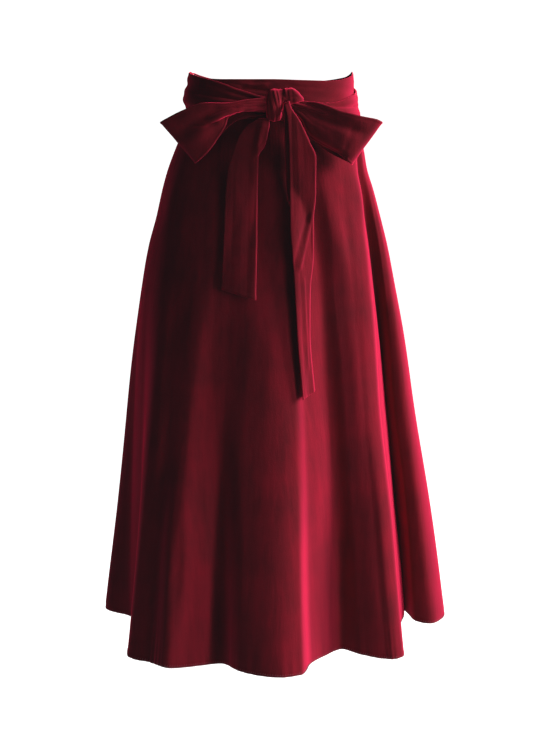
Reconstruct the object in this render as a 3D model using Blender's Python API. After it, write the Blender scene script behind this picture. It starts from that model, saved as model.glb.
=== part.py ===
"""A wine-red velvet midi skirt with a high waistband and a wide sash tied in a bow at the front.

Metres, +Z up, the front faces -Y, and the origin is at the middle of the waist.
Angles go round the waist in degrees from the front, and grow towards +X.
"""

import math
from collections import namedtuple

import bpy
import numpy as np

# Driving sizes
WAIST_SEAM = -0.050  # height of the seam between band and panels
HEM = -0.8315  # height of the hem
PANEL_WALL = 0.0018  # velvet of the panels and band
SASH_WALL = 0.0014  # velvet of the sash
SEAM_GAP = 0.0003  # what is left free at each seam
SIDE_SEAM = 105.0  # angle of each side seam at the waist
BACK_SEAM = 180.0  # angle of the centre-back seam

# How the panels fall
ROUNDNESS = 2.15  # power of the plan sections: 2 is an ellipse
SWING = 2.2  # how early the fold lines swing to their place at the hem
GROWTH = 1.25  # how late the folds reach their full depth

# How the sash lies on the band
WRAP_CLEARANCE = 0.0034  # from the band's face to the sash's middle
WRAP_PLEATS = 1.5  # pleats down the width of the wrap
LAYER_STEP = 0.0042  # from one layer of a folded tail to the next
BEND = 0.0016  # how far a turned edge reaches past its layers
TAIL_CLEARANCE = 0.0022  # from the front panel to a tail's rearmost layer

# Grid sizes
PANEL_ROWS = 17
FRONT_COLUMNS = 78
BACK_COLUMNS = 27
BAND_ROWS = 3
BAND_STEP = 7.0  # degrees of one cell round the band
WRAP_ROWS = 8
WRAP_COLUMNS = 46
LOOP_ROWS = 7
LOOP_COLUMNS = 26
KNOT_POINTS = 20
TAIL_ROWS = 20
TAIL_LAYER_CELLS = 4

VELVET_RED = (0.235, 0.018, 0.040, 1.0)
SASH_RED = (0.265, 0.020, 0.046, 1.0)

# Half-sizes of the plan at each height: to the left, right, front and back.
Girth = namedtuple("Girth", "z left right front back")
GIRTHS = (
    Girth(0.010, 0.1155, 0.1200, 0.0930, 0.0930),
    Girth(-0.016, 0.1165, 0.1220, 0.0935, 0.0935),
    Girth(-0.050, 0.1190, 0.1215, 0.0960, 0.0960),
    Girth(-0.085, 0.1310, 0.1300, 0.1045, 0.1080),
    Girth(-0.110, 0.1420, 0.1385, 0.1110, 0.1180),
    Girth(-0.142, 0.1545, 0.1450, 0.1190, 0.1290),
    Girth(-0.172, 0.1635, 0.1550, 0.1270, 0.1380),
    Girth(-0.210, 0.1730, 0.1655, 0.1370, 0.1480),
    Girth(-0.255, 0.1862, 0.1770, 0.1500, 0.1590),
    Girth(-0.308, 0.1970, 0.1875, 0.1630, 0.1710),
    Girth(-0.386, 0.2080, 0.2020, 0.1820, 0.1870),
    Girth(-0.495, 0.2222, 0.2189, 0.2060, 0.2080),
    Girth(-0.623, 0.2383, 0.2417, 0.2310, 0.2310),
    Girth(-0.753, 0.2536, 0.2632, 0.2530, 0.2510),
    Girth(-0.830, 0.2626, 0.2742, 0.2640, 0.2600),
)

# Each crest and hollow: its angle at the waist and at the hem, its radius at the hem,
# the height at which it starts, and how far its hem drops below the rest.
Fold = namedtuple("Fold", "name waist hem radius starts drop")
FOLDS = (
    Fold("left_side_crest", -98, -94, 0.264, -0.190, 0.007),
    Fold("left_side_edge", -88, -84, 0.224, -0.190, 0.005),
    Fold("left_side_hollow", -80, -68, 0.214, -0.180, 0.001),
    Fold("left_front_corner", -68, -45, 0.292, -0.150, 0.000),
    Fold("left_front_dip", -54, -37, 0.281, -0.180, 0.001),
    Fold("left_front_crest", -40, -28, 0.286, -0.180, 0.001),
    Fold("left_front_hollow", -24, -19, 0.243, -0.160, 0.000),
    Fold("middle_left_flank", -12, -9, 0.266, -0.160, 0.000),
    Fold("middle_crest", 0, 0, 0.281, -0.200, 0.000),
    Fold("middle_right_flank", 9, 8, 0.269, -0.200, 0.000),
    Fold("middle_step", 16, 14, 0.233, -0.160, 0.000),
    Fold("right_front_hollow", 26, 31, 0.205, -0.095, 0.000),
    Fold("right_front_step", 35, 34, 0.240, -0.095, 0.000),
    Fold("right_front_flank", 46, 37, 0.264, -0.100, 0.001),
    Fold("right_front_corner", 62, 43, 0.279, -0.100, 0.000),
    Fold("right_side_hollow", 74, 63, 0.214, -0.110, 0.000),
    Fold("right_side_valley", 83, 86, 0.210, -0.150, 0.000),
    Fold("right_side_lip", 88, 76, 0.232, -0.190, 0.002),
    Fold("right_side_turn", 92, 76, 0.252, -0.190, 0.003),
    Fold("right_side_crest", 98, 87, 0.274, -0.170, 0.005),
    Fold("right_rear_hollow", 112, 106, 0.236, -0.200, 0.002),
    Fold("right_rear_crest", 124, 119, 0.276, -0.210, 0.000),
    Fold("right_back_hollow", 137, 134, 0.232, -0.170, 0.000),
    Fold("right_back_crest", 150, 148, 0.281, -0.180, 0.000),
    Fold("back_seam_hollow", 166, 164, 0.238, -0.150, 0.000),
    Fold("back_crest", 179, 180, 0.273, -0.190, 0.000),
    Fold("left_seam_hollow", 193, 195, 0.240, -0.160, 0.000),
    Fold("left_back_crest", 208, 211, 0.284, -0.180, 0.000),
    Fold("left_back_hollow", 222, 225, 0.233, -0.170, 0.000),
    Fold("left_rear_crest", 236, 240, 0.274, -0.210, 0.000),
    Fold("left_rear_hollow", 249, 254, 0.238, -0.200, 0.002),
)

# Soft folds that run down from the waist and fade before the hem.
Drag = namedtuple("Drag", "name top_angle top_z low_angle low_z width height")
DRAGS = (
    Drag("right_soft_fold", 30, -0.100, 42, -0.350, 6.0, 0.0060),
    Drag("right_hip_fold", 52, -0.090, 60, -0.240, 6.0, 0.0030),
    Drag("left_soft_fold", -32, -0.120, -30, -0.300, 6.0, 0.0030),
    Drag("left_hip_fold", -58, -0.100, -64, -0.260, 7.0, 0.0035),
    Drag("middle_soft_fold", 6, -0.110, 8, -0.300, 5.0, 0.0030),
    Drag("right_back_soft_fold", 148, -0.100, 142, -0.300, 7.0, 0.0040),
    Drag("left_back_soft_fold", 214, -0.100, 220, -0.310, 7.0, 0.0040),
    Drag("back_soft_fold", 176, -0.110, 174, -0.280, 6.0, 0.0030),
)

# The band's top edge: a gentle saddle, high at the sides.
Rim = namedtuple("Rim", "angle z")
RIMS = (
    Rim(-180, -0.0130),
    Rim(-135, -0.0090),
    Rim(-92, -0.0010),
    Rim(-60, -0.0070),
    Rim(-38, -0.0095),
    Rim(0, -0.0095),
    Rim(30, -0.0110),
    Rim(46, -0.0118),
    Rim(70, -0.0055),
    Rim(88, 0.0008),
    Rim(135, -0.0090),
)

# The sash round the waist: its upper and lower edge at each angle, and how far it stands out.
Wrap = namedtuple("Wrap", "name angle top low stand")
WRAPS = (
    Wrap("right_of_knot", 3, -0.0360, -0.0640, 0.0010),
    Wrap("right_front", 24, -0.0388, -0.0720, 0.0040),
    Wrap("right_quarter", 44, -0.0425, -0.0800, 0.0050),
    Wrap("right_turn", 64, -0.0335, -0.0800, 0.0060),
    Wrap("right_side", 86, -0.0262, -0.0770, 0.0065),
    Wrap("right_rear", 125, -0.0180, -0.0710, 0.0055),
    Wrap("back", 180, -0.0170, -0.0680, 0.0050),
    Wrap("left_rear", 235, -0.0090, -0.0640, 0.0060),
    Wrap("left_side", 270, 0.0010, -0.0600, 0.0100),
    Wrap("left_turn", 296, -0.0035, -0.0610, 0.0070),
    Wrap("left_quarter", 318, -0.0120, -0.0630, 0.0050),
    Wrap("left_front", 336, -0.0240, -0.0630, 0.0030),
    Wrap("left_of_knot", 357, -0.0345, -0.0620, 0.0010),
)

# A loop of the bow, along the strip from the knot to the turned end and back behind:
# where its upper and lower edges are, its depth, and how far its middle stands out.
Loop = namedtuple("Loop", "name upper_x upper_z lower_x lower_z depth puff")
LEFT_LOOP = (
    Loop("front_knot", -0.0069, -0.0345, -0.0069, -0.0515, -0.1215, 0.0010),
    Loop("front_neck", -0.0347, -0.0366, -0.0350, -0.0546, -0.1270, 0.0030),
    Loop("front_opening", -0.0610, -0.0400, -0.0550, -0.0620, -0.1310, 0.0050),
    Loop("front_body", -0.0891, -0.0420, -0.0690, -0.0825, -0.1330, 0.0070),
    Loop("front_outer", -0.1217, -0.0511, -0.0866, -0.1061, -0.1310, 0.0060),
    Loop("front_rim", -0.1480, -0.0640, -0.1020, -0.1210, -0.1260, 0.0030),
    Loop("turned_end", -0.1555, -0.0681, -0.1065, -0.1250, -0.1180, 0.0000),
    Loop("back_rim", -0.1480, -0.0650, -0.1020, -0.1210, -0.1100, -0.0020),
    Loop("back_body", -0.1000, -0.0480, -0.0760, -0.0900, -0.1070, -0.0030),
    Loop("back_neck", -0.0500, -0.0410, -0.0480, -0.0600, -0.1110, -0.0010),
    Loop("back_knot", -0.0069, -0.0380, -0.0069, -0.0540, -0.1110, 0.0000),
)
RIGHT_LOOP = (
    Loop("front_knot", 0.0270, -0.0379, 0.0270, -0.0515, -0.1210, 0.0010),
    Loop("front_neck", 0.0453, -0.0390, 0.0411, -0.0649, -0.1260, 0.0030),
    Loop("front_opening", 0.0690, -0.0420, 0.0537, -0.0868, -0.1300, 0.0060),
    Loop("front_body", 0.0942, -0.0510, 0.0733, -0.0991, -0.1320, 0.0070),
    Loop("front_outer", 0.1228, -0.0588, 0.0959, -0.1110, -0.1290, 0.0060),
    Loop("front_rim", 0.1490, -0.0642, 0.1100, -0.1230, -0.1230, 0.0030),
    Loop("turned_end", 0.1568, -0.0682, 0.1145, -0.1270, -0.1150, 0.0000),
    Loop("back_rim", 0.1480, -0.0665, 0.1100, -0.1240, -0.1070, -0.0020),
    Loop("back_body", 0.1000, -0.0540, 0.0760, -0.1060, -0.1070, -0.0030),
    Loop("back_neck", 0.0550, -0.0430, 0.0470, -0.0760, -0.1110, -0.0010),
    Loop("back_knot", 0.0270, -0.0382, 0.0270, -0.0560, -0.1110, 0.0000),
)
LOOP_VALLEY_AT = 0.36  # share of the width where a loop's long crease runs
LOOP_VALLEY_WIDTH = 0.15
LOOP_VALLEY_DEPTH = 0.8  # share of the puff that the crease takes back

# The knot, from its left side to the tip of the lobe on its right.
Lump = namedtuple("Lump", "x top low front back")
KNOT = (
    Lump(-0.0066, -0.0400, -0.0500, -0.1220, -0.1100),
    Lump(-0.0060, -0.0310, -0.0600, -0.1280, -0.1030),
    Lump(-0.0030, -0.0245, -0.0655, -0.1325, -0.1012),
    Lump(0.0050, -0.0218, -0.0670, -0.1350, -0.1011),
    Lump(0.0120, -0.0225, -0.0665, -0.1335, -0.1011),
    Lump(0.0165, -0.0222, -0.0580, -0.1290, -0.1010),
    Lump(0.0200, -0.0212, -0.0410, -0.1290, -0.1010),
    Lump(0.0270, -0.0207, -0.0375, -0.1300, -0.1015),
    Lump(0.0350, -0.0218, -0.0365, -0.1290, -0.1020),
    Lump(0.0420, -0.0265, -0.0362, -0.1250, -0.1040),
    Lump(0.0465, -0.0320, -0.0360, -0.1190, -0.1080),
)
KNOT_SQUARENESS = 2.6

# A tail: its first edge, the edge where it turns under, the shares of its width that the
# second and third layers reach across, and the depth at which it hangs clear of the panel.
Tail = namedtuple("Tail", "name edge_x edge_z turn_x turn_z under last hang")
LEFT_TAIL = (
    Tail("knot", -0.0095, -0.0660, -0.0005, -0.0664, 0.3, 0.0, -0.124),
    Tail("narrow", -0.0150, -0.0850, -0.0045, -0.0850, 0.3, 0.0, -0.130),
    Tail("twist", -0.0205, -0.1000, -0.0085, -0.1000, 0.4, 0.0, -0.134),
    Tail("opened", -0.0430, -0.1080, -0.0140, -0.1080, 0.5, 0.0, -0.138),
    Tail("upper", -0.0560, -0.1290, -0.0165, -0.1290, 0.5, 0.0, -0.138),
    Tail("middle", -0.0640, -0.1650, -0.0175, -0.1650, 0.5, 0.0, -0.138),
    Tail("straight", -0.0680, -0.2080, -0.0180, -0.2100, 0.5, 0.0, -0.138),
    Tail("lower", -0.0685, -0.2500, -0.0195, -0.2560, 0.5, 0.0, -0.138),
    Tail("end", -0.0680, -0.2930, -0.0200, -0.3060, 0.5, 0.0, -0.138),
)
RIGHT_TAIL = (
    Tail("knot", 0.0200, -0.0414, 0.0255, -0.0388, 0.6, 0.1, -0.130),
    Tail("over_loop", 0.0212, -0.0480, 0.0285, -0.0480, 0.6, 0.1, -0.1375),
    Tail("narrow", 0.0238, -0.0619, 0.0382, -0.0619, 0.6, 0.1, -0.142),
    Tail("opening", 0.0256, -0.0963, 0.0550, -0.0963, 0.8, 0.1, -0.146),
    Tail("upper", 0.0263, -0.1198, 0.0635, -0.1198, 0.8, 0.1, -0.147),
    Tail("widest", 0.0268, -0.1650, 0.0635, -0.1650, 0.8, 0.2, -0.147),
    Tail("turning", 0.0275, -0.2100, 0.0600, -0.2060, 0.85, 0.4, -0.147),
    Tail("narrowing", 0.0312, -0.2569, 0.0600, -0.2550, 0.85, 0.6, -0.147),
    Tail("middle", 0.0345, -0.3050, 0.0560, -0.3020, 0.85, 0.8, -0.147),
    Tail("lower", 0.0382, -0.3671, 0.0550, -0.3640, 0.85, 0.8, -0.147),
    Tail("end", 0.0453, -0.4499, 0.0615, -0.4420, 0.85, 0.8, -0.147),
)


def smooth_curve(knots, values, at, period=None):
    """A curve through the values that never swings past them; with a period it closes on itself."""
    knots = np.asarray(knots, float)
    values = np.asarray(values, float)
    at = np.asarray(at, float)
    if period is not None:
        turns = np.zeros_like(values)
        knots = np.concatenate([knots - period, knots, knots + period])
        values = np.concatenate([values + turns, values, values + turns])
        middle = knots[len(knots) // 3]
        at = (at - middle) % period + middle
    steps = np.diff(knots)
    slopes = np.diff(values) / steps
    tangents = np.zeros_like(values)
    same_way = slopes[:-1] * slopes[1:] > 0
    product = 2 * slopes[:-1] * slopes[1:]
    total = np.where(same_way, slopes[:-1] + slopes[1:], 1.0)
    tangents[1:-1] = np.where(same_way, product / total, 0.0)
    tangents[0] = slopes[0]
    tangents[-1] = slopes[-1]
    cell = np.clip(np.searchsorted(knots, at, side="right") - 1, 0, len(steps) - 1)
    width = steps[cell]
    t = np.clip((at - knots[cell]) / width, 0.0, 1.0)
    first = (1 + 2 * t) * (1 - t) ** 2 * values[cell]
    second = t * t * (3 - 2 * t) * values[cell + 1]
    leaving = t * (1 - t) ** 2 * width * tangents[cell]
    arriving = t * t * (t - 1) * width * tangents[cell + 1]
    return first + second + leaving + arriving


def column(rows, name):
    """One column of a table."""
    return [getattr(row, name) for row in rows]


def girth(part, z):
    """A half-size of the plan at this height."""
    rows = GIRTHS[::-1]
    return smooth_curve(column(rows, "z"), column(rows, part), z)


def plain_radius(angle, z):
    """The radius of the unfolded plan at this angle and height."""
    turned = np.radians(angle)
    across = np.sin(turned)
    ahead = np.cos(turned)
    width = np.where(across < 0, girth("left", z), girth("right", z))
    depth = np.where(ahead > 0, girth("front", z), girth("back", z))
    total = (np.abs(across) / width) ** ROUNDNESS + (np.abs(ahead) / depth) ** ROUNDNESS
    return total ** (-1 / ROUNDNESS)


def fold_line(name, angle):
    """A column of the fold table, smooth all round the waist."""
    return smooth_curve(column(FOLDS, "waist"), column(FOLDS, name), angle, 360.0)


def hem_angle(angle):
    """Where the cloth at this waist angle comes to at the hem."""
    swings = [row.hem - row.waist for row in FOLDS]
    return angle + smooth_curve(column(FOLDS, "waist"), swings, angle, 360.0)


def drag_height(angle, z):
    """How far the soft upper folds stand out."""
    height = np.zeros(np.broadcast(angle, z).shape)
    for drag in DRAGS:
        along = (drag.top_z - z) / (drag.top_z - drag.low_z)
        centre = drag.top_angle + (drag.low_angle - drag.top_angle) * along
        off = ((angle - centre + 180) % 360 - 180) / drag.width
        fade = np.sin(np.pi * np.clip(along, 0.0, 1.0)) ** 2
        height = height + drag.height * fade * np.exp(-off * off)
    return height


def panel_surface(angle, z):
    """The outer face of the panels, by waist angle and height."""
    fall = np.clip((WAIST_SEAM - z) / (WAIST_SEAM - HEM), 0.0, 1.0)
    swung = 1 - (1 - fall) ** SWING
    at_hem = hem_angle(angle)
    here = angle + (at_hem - angle) * swung
    swell = fold_line("radius", angle) / plain_radius(at_hem, HEM) - 1
    starts = fold_line("starts", angle)
    grown = np.clip((starts - z) / (starts - HEM), 0.0, 1.0) ** GROWTH
    radius = plain_radius(here, z) * (1 + swell * grown) + drag_height(here, z)
    turned = np.radians(here)
    return np.stack([radius * np.sin(turned), -radius * np.cos(turned), z + 0 * radius], -1)


def band_surface(angle, z):
    """The outer face of the waistband."""
    radius = plain_radius(angle, z)
    turned = np.radians(angle)
    return np.stack([radius * np.sin(turned), -radius * np.cos(turned), z + 0 * radius], -1)


def unit(vectors):
    """The vectors at length one."""
    return vectors / np.linalg.norm(vectors, axis=-1, keepdims=True)


def outward(surface, angle, z):
    """The outward direction of a surface given by angle and height."""
    turn = 0.05
    drop = 0.0005
    round_waist = surface(angle + turn, z) - surface(angle - turn, z)
    upwards = surface(angle, z + drop) - surface(angle, z - drop)
    return unit(np.cross(round_waist, upwards))


def seam_angle(surface, seam, z, side):
    """The angle of a panel's edge: the seam, less half the gap."""
    reach = 0.05
    run = np.linalg.norm(surface(seam + reach, z) - surface(seam - reach, z), axis=-1)
    return seam + side * (SEAM_GAP / 2) * (2 * reach) / run


def panel_height(angle, share):
    """The height of the cloth at this waist angle and share of the way to the hem."""
    hem = HEM - fold_line("drop", angle)
    return WAIST_SEAM - SEAM_GAP + (hem - WAIST_SEAM + SEAM_GAP) * share


def band_height(angle, share):
    """The height of the band at this angle and share of the way down."""
    top = smooth_curve(column(RIMS, "angle"), column(RIMS, "z"), angle, 360.0)
    return top + (WAIST_SEAM - top) * share


def between_seams(surface, height, first, last, rows, columns):
    """A grid of points and outward directions between two seams."""
    share = np.linspace(0.0, 1.0, rows + 1)
    start = seam_angle(surface, first, height(first, share), 1)
    end = seam_angle(surface, last, height(last, share), -1)
    across = np.linspace(0.0, 1.0, columns + 1)
    angle = start[:, None] + (end - start)[:, None] * across[None, :]
    z = height(angle, share[:, None])
    return surface(angle, z), outward(surface, angle, z)


def grid_directions(points):
    """The outward direction at each point of a grid."""
    along = np.gradient(points, axis=1)
    down = np.gradient(points, axis=0)
    return unit(np.cross(along, -down))


def shell_faces(rows, columns):
    """The faces of a closed shell made of two grids, the second one inside."""
    index = np.arange(rows * columns).reshape(rows, columns)
    inside = index + rows * columns
    faces = []
    for r in range(rows - 1):
        for c in range(columns - 1):
            faces.append((index[r, c], index[r + 1, c], index[r + 1, c + 1], index[r, c + 1]))
            faces.append((inside[r, c], inside[r, c + 1], inside[r + 1, c + 1], inside[r + 1, c]))
    for c in range(columns - 1):
        faces.append((index[0, c], index[0, c + 1], inside[0, c + 1], inside[0, c]))
        faces.append((index[-1, c + 1], index[-1, c], inside[-1, c], inside[-1, c + 1]))
    for r in range(rows - 1):
        faces.append((index[r, -1], index[r + 1, -1], inside[r, -1]))
        faces.append((index[r + 1, -1], inside[r + 1, -1], inside[r, -1]))
        faces.append((index[r + 1, 0], index[r, 0], inside[r, 0]))
        faces.append((index[r + 1, 0], inside[r, 0], inside[r + 1, 0]))
    return [tuple(int(corner) for corner in face) for face in faces]


def add_object(name, points, faces, material):
    """A named mesh object with its material."""
    mesh = bpy.data.meshes.new(name)
    mesh.from_pydata([tuple(map(float, point)) for point in points], [], faces)
    mesh.materials.append(material)
    mesh.polygons.foreach_set("use_smooth", [True] * len(mesh.polygons))
    mesh.update()
    made = bpy.data.objects.new(name, mesh)
    bpy.context.scene.collection.objects.link(made)
    return made


def add_cloth(name, points, directions, outside, inside, material):
    """A cloth shell round a grid, from the first distance along its directions to the second."""
    rows, columns = points.shape[:2]
    outer = points + directions * outside
    inner = points + directions * inside
    both = np.concatenate([outer.reshape(-1, 3), inner.reshape(-1, 3)])
    return add_object(name, both, shell_faces(rows, columns), material)


def add_panel(name, first, last, columns, material):
    """A panel of the skirt between two seams."""
    grid = between_seams(panel_surface, panel_height, first, last, PANEL_ROWS, columns)
    return add_cloth(name, *grid, 0.0, -PANEL_WALL, material)


def add_band(name, first, last, material):
    """A piece of the waistband between two seams."""
    columns = round((last - first) / BAND_STEP)
    grid = between_seams(band_surface, band_height, first, last, BAND_ROWS, columns)
    return add_cloth(name, *grid, 0.0, -PANEL_WALL, material)


def wrap_line(name, angle):
    """A column of the sash's table, round the waist."""
    return smooth_curve(column(WRAPS, "angle"), column(WRAPS, name), angle, 360.0)


def wrap_surface(angle, share):
    """The middle of the sash round the waist, by angle and share of its width."""
    top = wrap_line("top", angle)
    z = top + (wrap_line("low", angle) - top) * share
    pleat = 0.5 - 0.5 * np.cos(2 * np.pi * WRAP_PLEATS * share + 2 * np.radians(angle))
    bulge = wrap_line("stand", angle) * np.sin(np.pi * share) * (0.5 + 0.5 * pleat)
    radius = plain_radius(angle, z) + WRAP_CLEARANCE + bulge
    turned = np.radians(angle)
    return np.stack([radius * np.sin(turned), -radius * np.cos(turned), z], -1)


def add_wrap(material):
    """The sash round the waist; its ends meet behind the knot."""
    angle = np.linspace(WRAPS[0].angle, WRAPS[-1].angle, WRAP_COLUMNS + 1)[None, :]
    share = np.linspace(0.0, 1.0, WRAP_ROWS + 1)[:, None]
    angle, share = np.broadcast_arrays(angle, share)
    points = wrap_surface(angle, share)
    directions = grid_directions(points)
    return add_cloth("sash_wrap", points, directions, SASH_WALL / 2, -SASH_WALL / 2, material)


def loop_points(rows):
    """The grid of a loop: across the strip by row, along it by column."""
    knots = np.arange(len(rows), dtype=float)
    along = np.linspace(0.0, len(rows) - 1, LOOP_COLUMNS + 1)
    across = np.linspace(0.0, 1.0, LOOP_ROWS + 1)[:, None]

    def line(name):
        return smooth_curve(knots, column(rows, name), along)[None, :]

    x = line("upper_x") + (line("lower_x") - line("upper_x")) * across
    z = line("upper_z") + (line("lower_z") - line("upper_z")) * across
    off = (across - LOOP_VALLEY_AT) / LOOP_VALLEY_WIDTH
    rounding = np.sin(np.pi * across) - LOOP_VALLEY_DEPTH * np.exp(-off * off)
    y = line("depth") - line("puff") * rounding
    return np.stack([x, y, z], -1)


def add_loop(name, rows, turned, material):
    """A loop of the bow: one strip, out from the knot, turned, and back behind."""
    points = loop_points(rows)
    if turned:
        points = points[:, ::-1]
    directions = grid_directions(points)
    return add_cloth(name, points, directions, SASH_WALL / 2, -SASH_WALL / 2, material)


def add_knot(material):
    """The knot: rounded sections from its left side to the tip of its right lobe."""
    turn = np.linspace(0.0, 2 * np.pi, KNOT_POINTS, endpoint=False)
    power = 2 / KNOT_SQUARENESS
    ahead = np.sign(np.cos(turn)) * np.abs(np.cos(turn)) ** power
    upward = np.sign(np.sin(turn)) * np.abs(np.sin(turn)) ** power
    points = []
    faces = []
    for row in KNOT:
        y = (row.front + row.back) / 2 - ahead * (row.back - row.front) / 2
        z = (row.top + row.low) / 2 + upward * (row.top - row.low) / 2
        points.extend((row.x, y[i], z[i]) for i in range(KNOT_POINTS))
    for r in range(len(KNOT) - 1):
        for c in range(KNOT_POINTS):
            after = (c + 1) % KNOT_POINTS
            here = r * KNOT_POINTS
            there = here + KNOT_POINTS
            faces.append((here + c, there + c, there + after, here + after))
    faces.append(tuple(range(KNOT_POINTS)))
    faces.append(tuple(range(len(points) - 1, len(points) - KNOT_POINTS - 1, -1)))
    return add_object("sash_knot", points, faces, material)


def front_depth(x, z):
    """The depth of the front panel's face at this place, the nearest of what is close by."""
    angle = np.linspace(-75.0, 75.0, 301)
    face = panel_surface(angle, np.full_like(angle, min(z, WAIST_SEAM)))
    reach = 0.007
    near = np.abs(face[:, 0] - x) < reach
    return float(face[near, 1].min())


def tail_section(edge, turn, under, last):
    """Places across a folded tail as (x, layer): the front layer, then the turned ones."""
    towards_turn = math.copysign(1.0, turn - edge)
    width = abs(turn - edge)
    bend = min(BEND, 0.25 * width)
    inner_turn = turn - towards_turn * bend
    second_end = turn - towards_turn * max(width * under, 3 * bend)
    inner_second = second_end + towards_turn * bend
    folded_twice = last > 0
    back_layer_end = inner_second if folded_twice else second_end
    steps = np.linspace(0.0, 1.0, TAIL_LAYER_CELLS + 1)
    section = [(edge + (inner_turn - edge) * s, 0.0) for s in steps]
    section.append((turn, 0.5))
    section.extend((inner_turn + (back_layer_end - inner_turn) * s, 1.0) for s in steps)
    if folded_twice:
        last_end = inner_second + towards_turn * max(width * last, bend)
        section.append((second_end, 1.5))
        section.append((inner_second, 2.0))
        section.append((last_end, 2.0))
    return section


def tail_points(rows):
    """The grid of a tail: across it by column, down it by row."""
    knots = np.arange(len(rows), dtype=float)
    down = np.linspace(0.0, len(rows) - 1, TAIL_ROWS + 1)
    lines = {}
    for name in Tail._fields[1:]:
        lines[name] = smooth_curve(knots, column(rows, name), down)
    layers = 2 if max(column(rows, "last")) > 0 else 1
    grid = []
    for r in range(TAIL_ROWS + 1):
        edge = lines["edge_x"][r]
        turn = lines["turn_x"][r]
        section = tail_section(edge, turn, lines["under"][r], lines["last"][r])
        row = []
        for x, layer in section:
            share = np.clip((x - edge) / (turn - edge), 0.0, 1.0)
            z = lines["edge_z"][r] + (lines["turn_z"][r] - lines["edge_z"][r]) * share
            reach = layers * LAYER_STEP + TAIL_CLEARANCE
            lying = front_depth(x, z) - reach
            front = min(lines["hang"][r], lying)
            row.append((x, front + layer * LAYER_STEP, z))
        grid.append(row)
    return np.array(grid)


def add_tail(name, rows, material):
    """A tail of the bow."""
    points = tail_points(rows)
    directions = grid_directions(points)
    return add_cloth(name, points, directions, SASH_WALL / 2, -SASH_WALL / 2, material)


def velvet(name, colour, roughness):
    """A velvet material."""
    material = bpy.data.materials.new(name)
    material.use_nodes = True
    shader = material.node_tree.nodes["Principled BSDF"]
    shader.inputs["Base Color"].default_value = colour
    shader.inputs["Roughness"].default_value = roughness
    shader.inputs["Metallic"].default_value = 0.0
    return material


def clear_scene():
    """Removes whatever the scene starts with."""
    for found in list(bpy.data.objects):
        bpy.data.objects.remove(found, do_unlink=True)


def build():
    """Every piece of the skirt."""
    clear_scene()
    panel_velvet = velvet("panel_velvet", VELVET_RED, 0.85)
    band_velvet = velvet("band_velvet", VELVET_RED, 0.85)
    sash_velvet = velvet("sash_velvet", SASH_RED, 0.80)
    left_seam = 360.0 - SIDE_SEAM
    add_panel("skirt_front", -SIDE_SEAM, SIDE_SEAM, FRONT_COLUMNS, panel_velvet)
    add_panel("skirt_back_right", SIDE_SEAM, BACK_SEAM, BACK_COLUMNS, panel_velvet)
    add_panel("skirt_back_left", BACK_SEAM, left_seam, BACK_COLUMNS, panel_velvet)
    add_band("waistband_front", -SIDE_SEAM, SIDE_SEAM, band_velvet)
    add_band("waistband_back_right", SIDE_SEAM, BACK_SEAM, band_velvet)
    add_band("waistband_back_left", BACK_SEAM, left_seam, band_velvet)
    add_wrap(sash_velvet)
    add_knot(sash_velvet)
    add_loop("bow_loop_left", LEFT_LOOP, True, sash_velvet)
    add_loop("bow_loop_right", RIGHT_LOOP, False, sash_velvet)
    add_tail("sash_tail_left", LEFT_TAIL, sash_velvet)
    add_tail("sash_tail_right", RIGHT_TAIL, sash_velvet)


build()
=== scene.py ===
"""The look of a wine-red velvet midi skirt with a high waistband and a sash tied in a bow.

Metres, +Z up, the front faces -Y. Angles go round the waist in degrees from the front and
grow towards +X.
"""

import logging
import math
from dataclasses import dataclass, replace
from enum import Enum
from typing import Callable, Mapping, NamedTuple, Optional, Sequence, Union

import bpy
import numpy as np
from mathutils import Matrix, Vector

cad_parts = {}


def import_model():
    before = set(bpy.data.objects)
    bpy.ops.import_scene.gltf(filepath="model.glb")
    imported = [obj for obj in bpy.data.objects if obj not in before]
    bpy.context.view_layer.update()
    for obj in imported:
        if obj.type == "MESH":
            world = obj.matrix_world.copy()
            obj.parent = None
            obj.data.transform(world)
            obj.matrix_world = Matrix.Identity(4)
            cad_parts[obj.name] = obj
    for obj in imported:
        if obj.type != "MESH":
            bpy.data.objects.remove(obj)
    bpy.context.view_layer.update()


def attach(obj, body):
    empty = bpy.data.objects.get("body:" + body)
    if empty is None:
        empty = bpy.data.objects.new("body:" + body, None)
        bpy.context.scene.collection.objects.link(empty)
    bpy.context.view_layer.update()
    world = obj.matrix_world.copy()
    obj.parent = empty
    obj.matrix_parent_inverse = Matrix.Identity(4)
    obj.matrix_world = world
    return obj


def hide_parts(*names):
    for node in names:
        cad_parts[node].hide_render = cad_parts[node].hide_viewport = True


LOG = logging.getLogger("midi_skirt")
BODY = "root"
TURN = 360.0

Surface = Callable[[np.ndarray, np.ndarray], np.ndarray]
Sizes = tuple[float, float, float]
Colour = tuple[float, float, float, float]
Faces = list[tuple[int, ...]]
Piece = bpy.types.Object
Material = bpy.types.Material
Socket = bpy.types.NodeSocket
Feed = Union[Socket, float, Sequence[float]]
Feeds = Mapping[Union[str, int], Feed]

WHITE: Colour = (1.0, 1.0, 1.0, 1.0)


class Girth(NamedTuple):
    """Half-sizes of the plan at one height: to the left, right, front and back."""

    z: float
    left: float
    right: float
    front: float
    back: float


class Fold(NamedTuple):
    """A crest or hollow: angles at waist and hem, radius at the hem, start, hem drop, growth.

    A growth under one lets the fold form high up, and one over one lets it form low down.
    """

    name: str
    waist: float
    hem: float
    radius: float
    starts: float
    drop: float = 0.0
    growth: float = 1.25


class Drag(NamedTuple):
    """A soft fold: where it begins and ends, its width in degrees and its height."""

    name: str
    top_angle: float
    top_z: float
    low_angle: float
    low_z: float
    width: float
    height: float


class Rim(NamedTuple):
    """The height of the band's top edge at one angle."""

    angle: float
    z: float


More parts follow.
